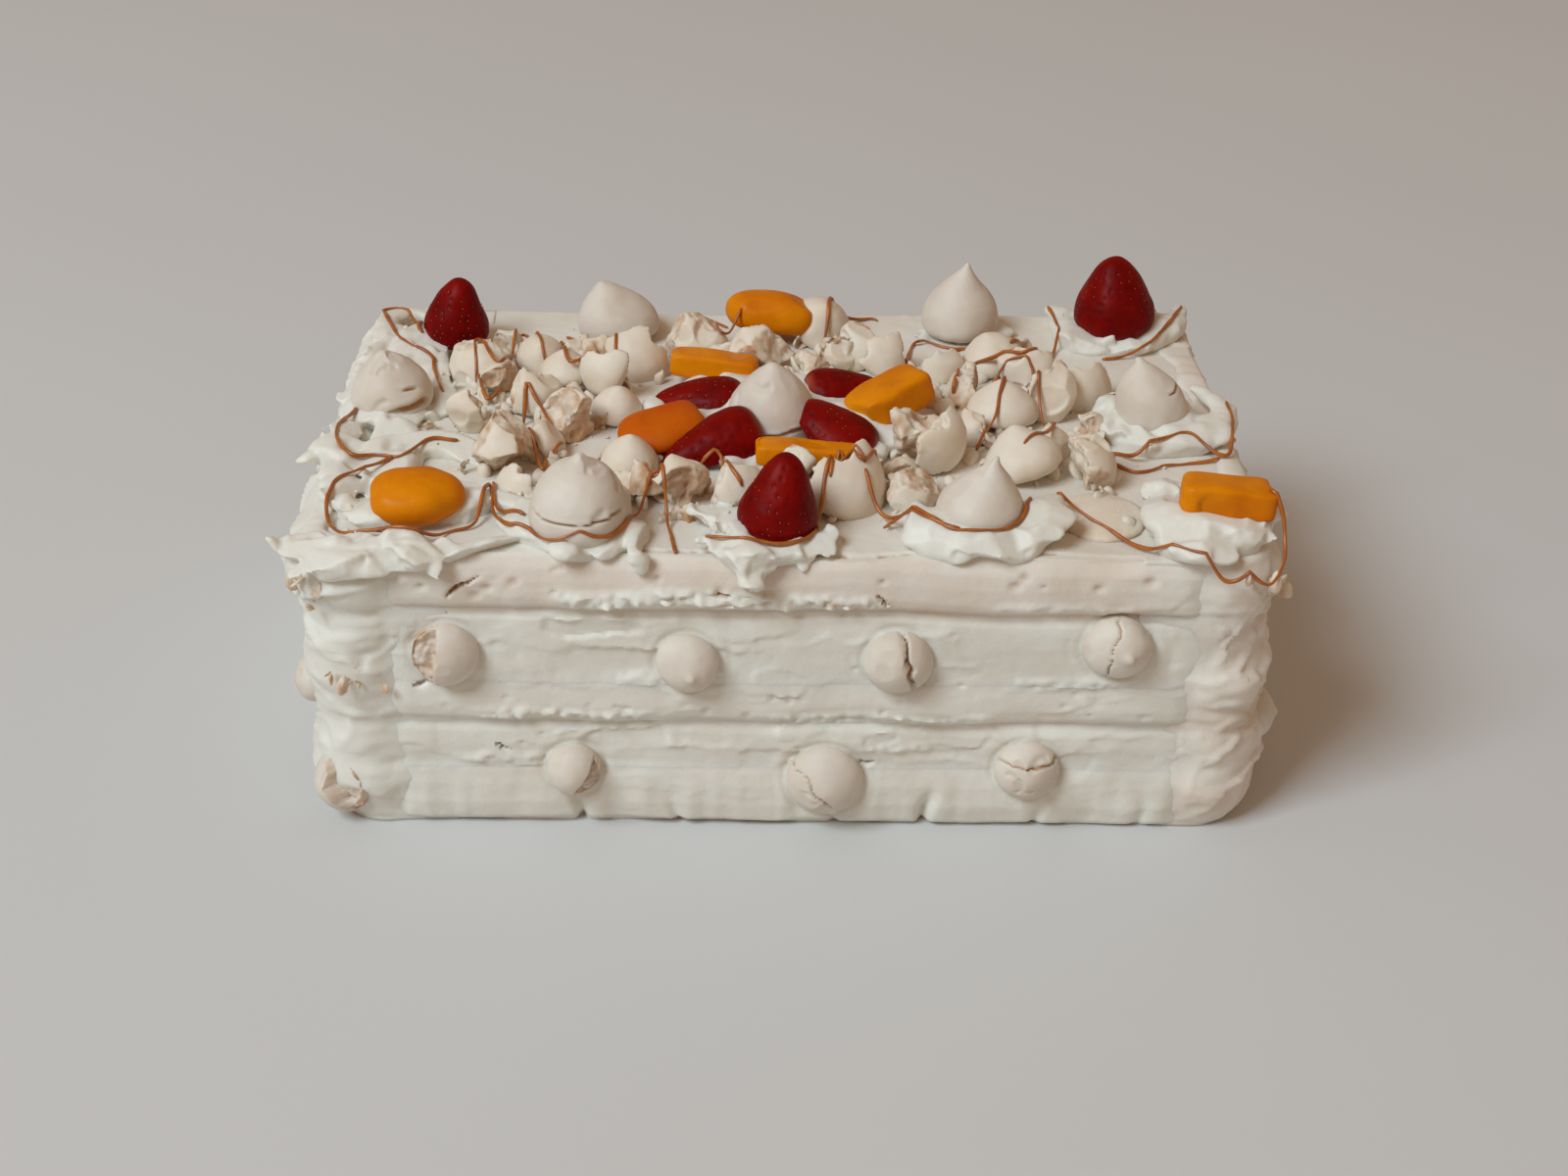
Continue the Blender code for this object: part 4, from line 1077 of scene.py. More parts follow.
def seated(mesh, x, y, z, tilt, turn=0.0):
    """Moves a shape to its place on the top, tilted about x and y and turned, in degrees."""
    angles = Euler([math.radians(a) for a in (tilt[0], tilt[1], turn)])
    mesh.transform(Matrix.LocRotScale(Vector((x, y, TOP + z)), angles, None))
    return mesh


def kiss(index, name, x, y, seat, radius, height, lean, tilt, form, cracks):
    mesh = kiss_shape(form, radius, height, lean, 40 + 7 * index, cracks)
    serve(f"{name}_baked", seated(mesh, x, y, seat, tilt), KISS, name)


STRAWBERRY_FORM = ((0, 0.78), (0.05, 0.91), (0.13, 0.985), (0.22, 1.0), (0.34, 0.965),
                   (0.48, 0.87), (0.62, 0.735), (0.75, 0.60), (0.85, 0.46), (0.92, 0.34),
                   (0.97, 0.21), (0.993, 0.10), (1, 0))


def seeded_skin(mesh, length, seed):
    """Dimples a strawberry and returns its seeds as a second mesh. Its tip is at the top of z."""
    points, normals = points_of(mesh), normals_of(mesh)
    reach = np.hypot(points[:, 0], points[:, 1])
    rows = 9
    dents, facing = [], []
    for row in range(rows):
        z = length * (0.08 + 0.84 * (row + 0.5) / rows)
        radius = reach[np.abs(points[:, 2] - z) < length / 40].max()
        count = max(4, int(math.tau * radius / 5.2))
        for i in range(count):
            angle = math.tau * (i + 0.5 * (row % 2)) / count + 0.13 * math.sin(seed + 3 * i + row)
            target = np.array([radius * math.cos(angle), radius * math.sin(angle), z])
            nearest = np.argmin(((points - target) ** 2).sum(axis=1))
            dents.append(points[nearest])
            facing.append(normals[nearest])
    dip = spots(points, dents, [1.25] * len(dents))
    out = 0.6 * waves(points, 10, seed) + 0.2 * waves(points, 4, seed + 1) - 0.32 * dip
    set_points(mesh, points + normals * out[:, None])
    # Painted shade: the seed dimples are darkened.
    paint(mesh, "deep", 0.45 * dip)
    foot = 1 - ramp(points[:, 2] / length, 0.0, 0.10)
    paint(mesh, "pale", 0.5 * foot * (0.5 + 0.5 * waves(points, 4, seed + 2)))
    seeds = bmesh.new()
    for centre, normal in zip(dents, facing):
        turn = Vector(normal).to_track_quat("Z", "Y").to_matrix().to_4x4()
        matrix = Matrix.Translation(Vector(centre - 0.30 * normal)) @ turn
        matrix = matrix @ Matrix.Diagonal((0.24, 0.38, 0.16, 1))
        bmesh.ops.create_icosphere(seeds, subdivisions=1, radius=1, matrix=matrix)
    return mesh_of(seeds)


def standing_strawberry(index, name, x, y, seat, radius, length, tilt):
    mesh = turned(STRAWBERRY_FORM, radius, length, 110, 60)
    seeds = seeded_skin(mesh, length, 60 + index)
    serve(f"{name}_skin", seated(mesh, x, y, seat, tilt), STRAWBERRY, name)
    serve(f"{name}_seeds", seated(seeds, x, y, seat, tilt), SEED, None)


def half_strawberry(index, name, x, y, middle, radius, length, turn, nose_up, roll):
    """Half a strawberry on its cut face, its tip along +x before it is turned."""
    mesh = turned(STRAWBERRY_FORM, radius, length, 110, 60)
    seeds = seeded_skin(mesh, length, 80 + index)
    lay_down = Matrix.Rotation(math.radians(90), 4, "Y")
    centre = Matrix.Translation((0, 0, -0.46 * length))
    turned_flat = Matrix.Rotation(math.radians(turn), 4, "Z")
    nose = Matrix.Rotation(math.radians(-nose_up), 4, "Y")
    rolled = Matrix.Rotation(math.radians(roll), 4, "X")
    drop = Matrix.Translation((0, 0, -0.45 * radius))
    at = Matrix.Translation((x, y, TOP + middle)) @ turned_flat @ nose @ rolled @ drop
    for shape, material, part in ((mesh, STRAWBERRY, "skin"), (seeds, SEED, "seeds")):
        shape.transform(lay_down @ centre)
        bm = bmesh.new()
        bm.from_mesh(shape)
        if part == "skin":
            cut_away(bm, (0, 0, 0), (0, 0, 1))
        else:
            low = [v for v in bm.verts if v.co.z < 0.5]
            bmesh.ops.delete(bm, geom=low, context="VERTS")
        bm.to_mesh(shape)
        bm.free()
        shape.transform(at)
        serve(f"{name}_{part}", shape, material, name if part == "skin" else None)


def peach(index, name, x, y, seat, length, width, height, squareness, turn, tilt):
    """A piece of peach: a swollen slab with soft cut edges, squarer where it was cut."""
    bm = bmesh.new()
    bmesh.ops.create_icosphere(bm, subdivisions=5, radius=1)
    mesh = mesh_of(bm)
    unit = points_of(mesh)
    flat = np.maximum(np.hypot(unit[:, 0], unit[:, 1]), 1e-6)
    share = np.maximum(np.abs(unit[:, :2]) / flat[:, None], 1e-6)
    cut = squareness > 3
    power = 1.6 * squareness if cut else squareness
    square = (share ** power).sum(axis=1) ** (-1 / power)
    around = np.arctan2(unit[:, 1], unit[:, 0])
    square *= 1 + 0.035 * np.cos(3 * around + index) + 0.03 * np.cos(5 * around + 2 * index)
    rise = 7.0 if cut else 2.2
    fullness = (flat ** rise + np.abs(unit[:, 2]) ** rise) ** (-1 / rise)
    points = unit * fullness[:, None]
    points[:, :2] *= (1 + (square - 1) * ramp(flat, 0, 0.9))[:, None]
    points *= np.array([length * 1.02, width * 1.08, height * (1.05 if cut else 1.3)]) / 2
    points[:, 2] = np.maximum(points[:, 2], -0.42 * height) + height / 2
    set_points(mesh, points)
    normals = normals_of(mesh)
    seed = 100 + 5 * index
    out = 0.4 * waves(points, 9, seed) + 0.15 * waves(points, (8, 2.4, 8), seed + 1)
    points = points + normals * out[:, None]
    points = swiped(points, normals, 5 if cut else 4, 9, 0.8, seed, 0.15)
    set_points(mesh, points)
    ripe = 0.30 * ramp(waves(points, 12, seed + 2), 0.1, 0.8) + 0.35 * ramp(-points[:, 2], -4, 0)
    paint(mesh, "ripe", ripe + (0.7 if name == "peach_centre_left" else 0))
    serve(f"{name}_flesh", seated(mesh, x, y, seat, tilt, turn), PEACH, name)


def dollop(index, name, strokes):
    """Spooned and knife-smeared cream."""
    draw = random.Random(name)
    seed = 130 + 9 * index
    tip, broad = (9, 20) if name == "cream_top_left" else (16, 13)
    bm = bmesh.new()
    for run in strokes:
        stroke(bm, run, draw)
        for x, y, z, radius in through(run, 0.07):
            turn = (draw.uniform(-tip, tip), draw.uniform(-tip, tip), draw.uniform(0, 180))
            at = (x + draw.uniform(-1.5, 1.5), y + draw.uniform(-1.5, 1.5), TOP + z + 0.3 * radius)
            ball(bm, at, radius * draw.uniform(1.0, 1.25), (1.35, 0.85, 0.42), turn)
    mesh = melted(bm, ROUGH_GRAIN, 14)
    points, normals = points_of(mesh), normals_of(mesh)
    out = 0.5 * waves(points, 14, seed + 1) + 0.1 * waves(points, 5, seed + 2)
    points = points + normals * out[:, None]
    points = swiped(points, normals, len(strokes) * 5, broad, 1.7, seed, 0.3)
    points = swiped(points, normals, len(strokes) * 2, broad * 0.6, 1.0, seed + 1, 0.3)
    points[:, 2] = np.maximum(points[:, 2], TOP - 12)
    set_points(mesh, points)
    bm = bmesh.new()
    poured(bm, mesh)
    mesh = melted(bm, ROUGH_GRAIN if name == "cream_centre" else CREAM_GRAIN, 2)
    points = points_of(mesh)
    points = points + normals_of(mesh) * (0.10 * waves(points, 2.4, seed + 3))[:, None]
    set_points(mesh, points)
    paint(mesh, "creamy", np.full(len(points), 1.0))
    paint(mesh, "toast_and_shade", 0.10 * ramp(waves(points, 11, seed + 4), 0.3, 0.9))
    serve(f"{name}_spooned", mesh, BAKED, name)


# How far the cream of each end stands out near the front corner, by height
END_REACH = {
    -1: ((0, -1), (3, 1.5), (9, 6), (16, 8), (26, 5.5), (38, 4.0), (48, 5.5), (58, 9.5), (68, 9),
         (78, 7.5), (87, 10), (96, 13.0), (103, 11.5), (107, 8.5)),
    1: ((0, 0), (3, 3), (8, 6.5), (20, 7.5), (33, 9), (42, 5), (52, 7), (62, 8.5), (72, 3.5),
        (82, 1.5), (90, 3.5), (98, 5.5), (103, 4.5), (107, 3)),
}
# Where meringue shows brown through an end's cream: x, y, z, radius and depth
END_HOLES = {
    -1: ((-169, -88, 98, 4.5, 3), (-153, -107, 60, 3.5, 3),
         (-146, -107, 62, 2.2, 2), (-168, -40, 60, 4, 3),
         (-168, 10, 32, 5, 3), (-168, 60, 84, 4, 3)),
    1: ((146, -106, 105.5, 3.5, 4), (152, -105, 104, 2.5, 3), (166, -78, 58, 3, 3),
        (166, -60, 74, 4, 3), (168, 0, 30, 5, 3), (168, 50, 78, 4, 3)),
}
# The cream over each end: its points along and up, its length, and how far it laps over the top
END_GRID = (280, 112)
END_LENGTH = 272
END_LAP = 13


def end_sheet():
    """A flat closed sheet from -0.5 to 0.5, and which of its points are on its inner side."""
    bm = bmesh.new()
    bmesh.ops.create_grid(bm, x_segments=END_GRID[0], y_segments=END_GRID[1], size=0.5)
    back = bmesh.ops.extrude_face_region(bm, geom=list(bm.faces))["geom"]
    bm.verts.index_update()
    behind = [g.index for g in back if isinstance(g, bmesh.types.BMVert)]
    mesh = mesh_of(bm)
    inner = np.zeros(len(mesh.vertices), bool)
    inner[behind] = True
    return mesh, inner


def torn_open(shell, out_way, side, seed):
    """Sinks the holes of an end into its cream: returns the moved points and where they show."""
    shade = np.zeros(len(shell))
    for *centre, radius, depth in END_HOLES[side]:
        spot = spots(shell, [centre], [radius * 1.2])
        shade = np.maximum(shade, spot)
        frayed = 0.6 + 0.4 * waves(shell, 2.5, seed + 9)
        shell = shell - out_way * (depth * spot * frayed)[:, None]
    return shell, shade


def end_cream(index, name, side):
    """Cream swept over one end, round its corners and over the rim of the top."""
    mesh, inner = end_sheet()
    flat = points_of(mesh)
    middle = (HALF_X - CORNER) + math.pi * CORNER / 2 + (HALF_Y - CORNER)
    if side < 0:
        middle = RIM_LENGTH - middle
    walk = middle + flat[:, 0] * END_LENGTH
    rise = (flat[:, 1] + 0.5) * (TOP + END_LAP)
    foot, out_way = rim_place(walk)
    z = np.minimum(rise, TOP)
    points = foot + np.column_stack([0 * z, 0 * z, z])
    seed = 200 + 11 * index
    heights, reach = np.array(END_REACH[side]).T
    thick = np.interp(z + 3 * waves(points, (40, 40, 80), seed), heights, reach)
    thick = thick * (0.75 + 0.25 * ramp(-points[:, 1], -40, 90))
    thick = thick + 1.2 * waves(points, (30, 30, 16), seed + 1)
    marks = knife_work(points, END_SWIPES[side], 700 + 400 * index)
    fray = 12 * waves(points, (26, 26, 11), seed + 2) + 3 * waves(points, (6, 6, 3), seed + 3)
    cover = ramp(np.abs(points[:, 0]) + fray, 120, 150)
    rough = ramp(np.abs(points[:, 0]) + 0.4 * fray, 136, 161)
    front_thick = 0.7 + np.interp(z, *np.array(SIDE_PROFILE).T) * 0.9
    thick = front_thick * (1 - rough) + thick * rough + marks * (0.55 + 0.45 * rough)
    thick += 0.12 * waves(points, 3, seed + 4) + 0.06 * waves(points, 1.5, seed + 5)
    thick = np.maximum(thick, 0.2) * cover - 2.0 * (1 - cover)
    over = np.clip(rise - TOP, 0, None)
    shoulder = np.clip((rise - (TOP - 7)) / 7, 0, 1)
    thick -= 0.45 * thick.clip(0) * shoulder ** 2
    lip = 1.6 + 1.3 * waves(points, (13, 13, 400), seed + 6)
    lip = lip + 0.5 * waves(points, (4, 4, 400), seed + 7)
    reach_in = over / END_LAP * (10 + 6 * waves(points, (15, 15, 400), seed + 8))
    inward = thick - reach_in * 1.4
    arch = np.sin(np.clip(over / END_LAP, 0, 1) * math.pi)
    lapped = lip * cover * (0.35 + 0.65 * arch) - 2.6 * ramp(over, 9, END_LAP)
    height = z + np.where(over > 0, lapped, 0)
    height += np.where(over > 0, 0.5 * marks * arch, 0)
    shell = foot + out_way * inward[:, None]
    shell[:, 2] = np.maximum(height, 0)
    shell, shade = torn_open(shell, out_way, side, seed)
    core = foot - out_way * np.where(over > 0, 2.5 + reach_in * 1.2, 2.5)[:, None]
    core[:, 2] = np.minimum(z, TOP - 3)
    set_points(mesh, np.where(inner[:, None], core, shell))
    # The right end is less creamy and browner than the left: partly meringue showing through its
    # cream, partly painted shade on the end that faces away from the window.
    mixed = 0.35 + 0.4 * waves(points, (14, 14, 10), seed + 12)
    paint(mesh, "creamy", (mixed if side > 0 else 1.0) * (1 - 0.6 * shade))
    tint = 0.16 * ramp(waves(points, (18, 18, 12), seed + 10), 0.1, 0.9)
    paint(mesh, "toast_and_shade", shade + tint + (0.28 if side > 0 else 0))
    serve(f"{name}_swept", mesh, BAKED, name)


# Bits of meringue torn up with the cream of the ends: x, y, z and size
TORN_BITS = (
    (-165, -100, 92, 3.2), (-161, -104, 89, 2.4), (-166, -95, 97, 2.6), (-157, -106, 95, 2.2),
    (-163, -102, 99, 1.8), (-151, -107, 61, 2.2), (-145, -106.5, 59.5, 1.6), (-156, -107, 63, 1.5),
    (-138, -105.5, 57, 1.3), (163, -94, 96, 3.4), (160, -101, 100, 2.6), (165, -84, 90, 3.0),
    (150, -106, 104, 2.2), (164, -74, 70, 2.8), (166, -60, 55, 2.4), (-167, -60, 80, 2.6),
    (-168, 20, 95, 3.0), (-167, 60, 50, 2.6), (167, 20, 90, 2.8), (167, 60, 60, 2.6),
)


def torn_bits():
    """Tan crumbs half buried in the cream of the two ends."""
    draw = random.Random("torn bits")
    bm = bmesh.new()
    for x, y, z, size in TORN_BITS:
        for _ in range(2):
            at = [c + draw.uniform(-0.9, 0.9) * size for c in (x, y, z)]
            squash = (draw.uniform(1.0, 1.6), draw.uniform(0.7, 1.0), draw.uniform(0.25, 0.45))
            crumb(bm, at, size * draw.uniform(0.6, 1.2), squash, draw)
    mesh = mesh_of(bm)
    points = points_of(mesh)
    paint(mesh, "toast_and_shade", 0.45 + 0.4 * waves(points, 2, 71))
    serve("torn_bits", mesh, BROKEN, None)


def side_place(side, along, height):
    """The foot and outward direction of something pressed into a side."""
    corner = CORNER * math.sqrt(0.5)
    diagonal = math.sqrt(0.5)
    return {
        "front": (Vector((along, -HALF_Y, height)), Vector((0, -1, 0))),
        "back": (Vector((along, HALF_Y, height)), Vector((0, 1, 0))),
        "left": (Vector((-HALF_X, along, height)), Vector((-1, 0, 0))),
        "right": (Vector((HALF_X, along, height)), Vector((1, 0, 0))),
        "front_left_corner": (
            Vector((CORNER - HALF_X - corner, CORNER - HALF_Y - corner, height)),
            Vector((-diagonal, -diagonal, 0)),
        ),
    }[side]


def crack_across(points, normals, style, thickness, wander):
    """The crack in a pressed-in kiss: returns the moved points and how tan they show."""
    x, y, z = points.T
    lines = {
        "split": (0.75 * x + 0.65 * (y + 4) + wander * 1.6, 0.35, 1.4),
        "shelled": (x - 3.5 + 0.3 * y + wander, 0.5, 2.4),
        "tipped": (x + 2.5 - 0.2 * y + wander, 0.3, 1.2),
        "creamed": (y - 5.5 + wander, 0.35, 1.3),
    }
    if style not in lines:
        return points, np.zeros(len(points))
    line, width, depth = lines[style]
    near_rim = ramp(z, 0.1 * thickness, 0.35 * thickness)
    gap = (1 - ramp(np.abs(line), width * 0.4, width * 1.2)) * near_rim
    points = points - normals * (depth * gap)[:, None]
    if style == "shelled":
        flap = x > 3.5 - 0.3 * y
        points += np.where(flap, 1, 0)[:, None] * np.array([0.9, -0.3, -1.0])
    return points, 0.9 * gap


def snapped_open(points, style, thickness, wander, seed):
    """The crumbly break of a pressed-in kiss: returns the moved points and how tan they show."""
    x, y, z = points.T
    cuts = {"snapped": x + 3.0, "holed": 4.5 - x + 0.5 * y, "pair": 3.5 - x - 0.4 * y}
    if style not in cuts:
        return points, np.zeros(len(points))
    cut = cuts[style] + wander
    broken = 1 - ramp(cut, -0.5, 0.5)
    coarse = 0.08 * waves(points, 3, seed + 7)
    fine = 0.06 * waves(points, 1.4, seed + 8)
    sunk = thickness * (0.40 + coarse + fine)
    points = np.column_stack([x, y, z * (1 - broken) + np.minimum(z, sunk) * broken])
    brown_share = broken * (0.5 + 0.35 * waves(points, 3, seed + 9))
    return points, np.maximum(brown_share, 0.45 * np.exp(-((cut - 0.4) / 0.6) ** 2))


def side_kiss(index, name, side, along, height, radius, thickness, reach, style):
    """A kiss pressed into a side. Its own x runs to the right as one faces it, its y up."""
    seed = 300 + 13 * index
    foot, normal = side_place(side, along, height)
    right = Vector((0, 0, 1)).cross(normal)
    thickness, reach = thickness + 1, reach + 1.8
    lean = {"tipped": (3.5, 1.0), "whole": (1.8, -1.8)}.get(style, (0, 0))
    form = {"tipped": NIPPLED, "whole": PRESSED_TIP}.get(style, PRESSED)
    mesh = kiss_shape(form, radius * 0.94, thickness, lean, seed, (), 96, 52)
    points, normals = points_of(mesh), normals_of(mesh)
    wander = 1.3 * waves(points, 6, seed + 5) + 0.7 * waves(points, 2.5, seed + 6)
    points, cracked = crack_across(points, normals, style, thickness, wander)
    points, broken = snapped_open(points, style, thickness, wander, seed)
    set_points(mesh, points)
    paint(mesh, "toast_and_shade", np.maximum(cracked, broken))
    base = foot + (reach - thickness) * normal
    turn = Matrix((right, Vector((0, 0, 1)), normal)).transposed().to_4x4()
    mesh.transform(Matrix.Translation(base) @ turn)
    serve(f"side_kiss_{name}_baked", mesh, KISS, f"side_kiss_{name}")


def kiss_for_breaking(radius, draw):
    """A whole kiss round the origin, ready to be broken."""
    form = draw.choice((ROUNDED, ROUNDED, NIPPLED))
    height = radius * draw.uniform(1.3, 1.6)
    mesh = turned(form, radius, height, 48, 32)
    mesh.transform(Matrix.Translation((0, 0, -height * 0.42)))
    bm = bmesh.new()
    poured(bm, mesh)
    return bm


def some_way(draw, *ranges):
    """A random direction whose x, y and z are drawn from the ranges given."""
    return Vector([draw.uniform(*span) for span in ranges]).normalized()


def snapped_half(radius, share, draw):
    """A kiss snapped across, with a few smaller chips off its edges."""
    bm = kiss_for_breaking(radius, draw)
    middle = Vector(((0.5 - share) * 2 * radius, 0, 0))
    planes = [(middle, Vector((-1, draw.uniform(-0.3, 0.3), -0.2)))]
    for _ in range(draw.choice((2, 3, 3))):
        facing = some_way(draw, (-0.8, 0.1), (-1, 1), (-0.3, 1))
        planes.append((facing * radius * draw.uniform(0.42, 0.68), facing))
    for point, facing in planes:
        cut_away(bm, point, -facing)
    return bm, planes


def crumbly_lump(radius, draw):
    """A piece from the inside of a kiss: flat breaks all round."""
    bm = kiss_for_breaking(radius * 1.08, draw)
    planes = []
    for _ in range(9):
        facing = some_way(draw, (-1, 1), (-1, 1), (-0.7, 1))
        planes.append((facing * radius * draw.uniform(0.42, 0.7), facing))
    for point, facing in planes:
        cut_away(bm, point, -facing)
    return bm, planes


def wall_shard(radius, draw, spread, thick):
    """A curved piece of a kiss's wall, hollow side towards its own -x."""
    bm = kiss_for_breaking(radius * 1.15, draw)
    heart = Vector((radius * 1.0, 0, draw.uniform(-0.15, 0.25) * radius))
    wobble = [draw.uniform(0, math.tau) for _ in range(3)]
    outside = []
    for face in bm.faces:
        away = face.calc_center_median() - heart
        angle = math.atan2(away.z, away.y)
        frayed = 1 + 0.22 * math.sin(2 * angle + wobble[0]) + 0.13 * math.sin(5 * angle + wobble[1])
        if away.length > spread * frayed * radius or face.calc_center_median().x < 0.05 * radius:
            outside.append(face)
    bmesh.ops.delete(bm, geom=outside, context="FACES")
    bmesh.ops.recalc_face_normals(bm, faces=bm.faces)
    bmesh.ops.solidify(bm, geom=list(bm.faces), thickness=thick)
    bmesh.ops.translate(bm, verts=bm.verts, vec=(-radius * 0.7, 0, 0))
    return bm, []


def shard(x, y, z, radius, turn, tilt, share, kind, seed):
    """A piece of a broken kiss, smooth outside and crumbly where it snapped."""
    draw = random.Random(seed)
    if kind == "half":
        bm, planes = snapped_half(radius, share, draw)
    elif kind == "lump":
        bm, planes = crumbly_lump(radius, draw)
    elif kind in ("cup", "leaf"):
        bm, planes = wall_shard(radius, draw, 1.0 if kind == "cup" else 1.1, 0.3 * radius)
    else:
        form, tall = (PRESSED, 0.38) if kind == "disc" else (ROUNDED, draw.uniform(1.15, 1.4))
        mesh = turned(form, radius, radius * tall, 48, 32)
        mesh.transform(Matrix.Translation((0, 0, -radius * tall * 0.42)))
        bm, planes = bmesh.new(), []
        poured(bm, mesh)
    mesh = melted(bm, SHARD_GRAIN[radius >= 9])
    points, normals = points_of(mesh), normals_of(mesh)
    broken = np.zeros(len(points))
    for point, facing in planes:
        away = np.abs((points - np.array(point)) @ np.array(facing))
        broken = np.maximum(broken, 1 - ramp(away, 0.4, 1.0))
    if kind in ("cup", "leaf"):
        broken = ramp(-normals[:, 0], -0.1, 0.35)
    crumbly = 1.3 * ramp(waves(points, 3.6, seed + 2), 0.0, 0.7)
    crumbly = crumbly + 0.7 * ramp(waves(points, 1.8, seed + 3), 0, 0.6)
    if kind in ("half", "lump"):
        points = swiped(points, normals, 9, radius * 0.55, radius * 0.13, seed, 0.3)
    out = 0.45 * waves(points, radius * 0.7, seed) + 0.14 * waves(points, 3, seed + 1)
    striped = 0.35 * waves(points, (1.4, 8, 8), seed + 7)
    out = out + broken * (0.5 * waves(points, 5, seed + 4) - crumbly + striped)
    points = points + normals * out[:, None]
    set_points(mesh, points)
    tint = broken * (0.34 + 0.42 * waves(points, 6, seed + 5) + 0.25 * waves(points, 2, seed + 6))
    tint = tint + 0.12 * ramp(waves(points, 9, seed + 8), 0.0, 0.8)
    paint(mesh, "toast_and_shade", tint)
    return seated(mesh, x, y, z, (tilt, 0), turn)


def chips(whole, x, y, radius, draw, seed):
    """Two small pieces beside a larger one, kept clear of the fruit in the middle."""
    for i in range(2):
        size, away = draw.uniform(3.2, 5.8), radius * draw.uniform(0.8, 1.25)
        angle = draw.uniform(0, math.tau)
        at_x, at_y = x + away * math.cos(angle), y + away * math.sin(angle)
        turn, tilt = draw.uniform(0, 360), draw.uniform(-50, 80)
        kind = draw.choice(("lump", "half", "cup"))
        if math.hypot(at_x / 52, at_y / 34) > 1 and at_y > -74:
            z = draw.uniform(1.5, 5)
            poured(whole, shard(at_x, at_y, z, size, turn, tilt, 0.5, kind, seed + i))


def heap(index, name, rows):
    """Real broken pieces and crumbs, standing for the fused heap."""
    whole = bmesh.new()
    whole.verts.layers.float.new("toast_and_shade")
    for i, row in enumerate(rows):
        x, y, z, radius, *rest = row
        poured(whole, shard(x, y, z + 0.5, radius * 1.1, *rest, 400 + 50 * index + i))
    draw = random.Random(name)
    for i, (x, y, _, radius, *_) in enumerate(rows):
        chips(whole, x, y, radius, draw, 1400 + 50 * index + 2 * i)
        for _ in range(9):
            sizes = draw.uniform(0.5, 1.2), draw.uniform(1.2, 2.4), draw.uniform(2.4, 4.2)
            size = draw.choice(sizes)
            away, angle = radius * draw.uniform(0.5, 1.25), draw.uniform(0, math.tau)
            at = (x + away * math.cos(angle), y + away * math.sin(angle), TOP + size * 0.4)
            squash = (draw.uniform(0.9, 1.4), draw.uniform(0.7, 1.0), draw.uniform(0.3, 0.7))
            crumb(whole, at, size, squash, draw)
    for vert in whole.verts:
        vert.co.z = max(vert.co.z, TOP - 6)
    mesh = mesh_of(whole)
    toast_and_shade = np.zeros(len(mesh.vertices), np.float32)
    mesh.attributes["toast_and_shade"].data.foreach_get("value", toast_and_shade)
    height = points_of(mesh)[:, 2] - TOP
    # Browner within 7 mm of the top: partly the browner underside of baked pieces, mostly painted
    # shade where the pieces crowd together.
    paint(mesh, "toast_and_shade", toast_and_shade + 0.30 * (1 - ramp(height, 0.5, 7)))
    serve(f"{name}_broken", mesh, BROKEN, name)


def crumb(bm, at, size, squash, draw):
    """One small rough crumb."""
    ball(bm, at, size, squash, [draw.uniform(0, 360) for _ in range(3)], draw)


def surface_below(graph, x, y):
    """Height in mm of the highest surface at a place."""
    hit, place, *_ = bpy.context.scene.ray_cast(
        graph, Vector((x * MM, y * MM, ABOVE_ALL * MM)), Vector((0, 0, -1))
    )
    return place.z / MM if hit else 0


def thread(bm, path, radius, phase):
    """A thin round thread of caramel along a path, drawn out thinner in places."""
    count = len(path)
    circle = bmesh.ops.create_circle(bm, cap_ends=True, segments=8, radius=1)["verts"]
    ring, last = None, None
    for i, point in enumerate(path):
        ahead = path[min(i + 1, count - 1)] - path[max(i - 1, 0)]
        facing = Vector(ahead).to_track_quat("Z", "Y").to_matrix().to_4x4()
        thin = radius * (0.9 + 0.2 * math.sin(i * 0.21 + phase) + 0.1 * math.sin(i * 0.77))
        thin *= 0.6 if i in (0, count - 1) else 1
        matrix = Matrix.Translation(Vector(point)) @ facing @ Matrix.Scale(thin, 4)
        if ring is None:
            bmesh.ops.transform(bm, matrix=matrix, verts=circle)
            ring = [e for e in bm.edges if all(v in circle for v in e.verts)]
        else:
            made = bmesh.ops.extrude_edge_only(bm, edges=ring)["geom"]
            verts = [g for g in made if isinstance(g, bmesh.types.BMVert)]
            ring = [g for g in made if isinstance(g, bmesh.types.BMEdge)]
            bmesh.ops.transform(bm, matrix=matrix @ last.inverted(), verts=verts)
        last = matrix
    bmesh.ops.contextual_create(bm, geom=ring)


def settled(floor):
    """A line that rests on the high points of floor and hangs between them."""
    line = floor.copy()
    for _ in range(30):
        middle = line.copy()
        middle[1:-1] = (line[:-2] + line[2:]) / 2 - 0.02
        line = np.maximum(floor, middle)
    return line


def round_feet(path):
    """Moves a path clear of the kisses and strawberries that it would climb at their foot."""
    for row in KISSES + STANDING_STRAWBERRIES:
        x, y, radius = row[1], row[2], row[4]
        away = path[:, :2] - [x, y]
        far = np.linalg.norm(away, axis=1, keepdims=True)
        near = (far > 0.6 * radius) & (far < radius + 1.2)
        clear = [x, y] + away / np.maximum(far, 1e-6) * (radius + 1.2)
        path[:, :2] = np.where(near, clear, path[:, :2])
        path[:, 2] = np.where(near[:, 0], np.maximum(path[:, 2], TOP + 0.6), path[:, 2])
    path[:, 1] = np.where(path[:, 2] < TOP + 1, np.maximum(path[:, 1], -HALF_Y), path[:, 1])
    return path


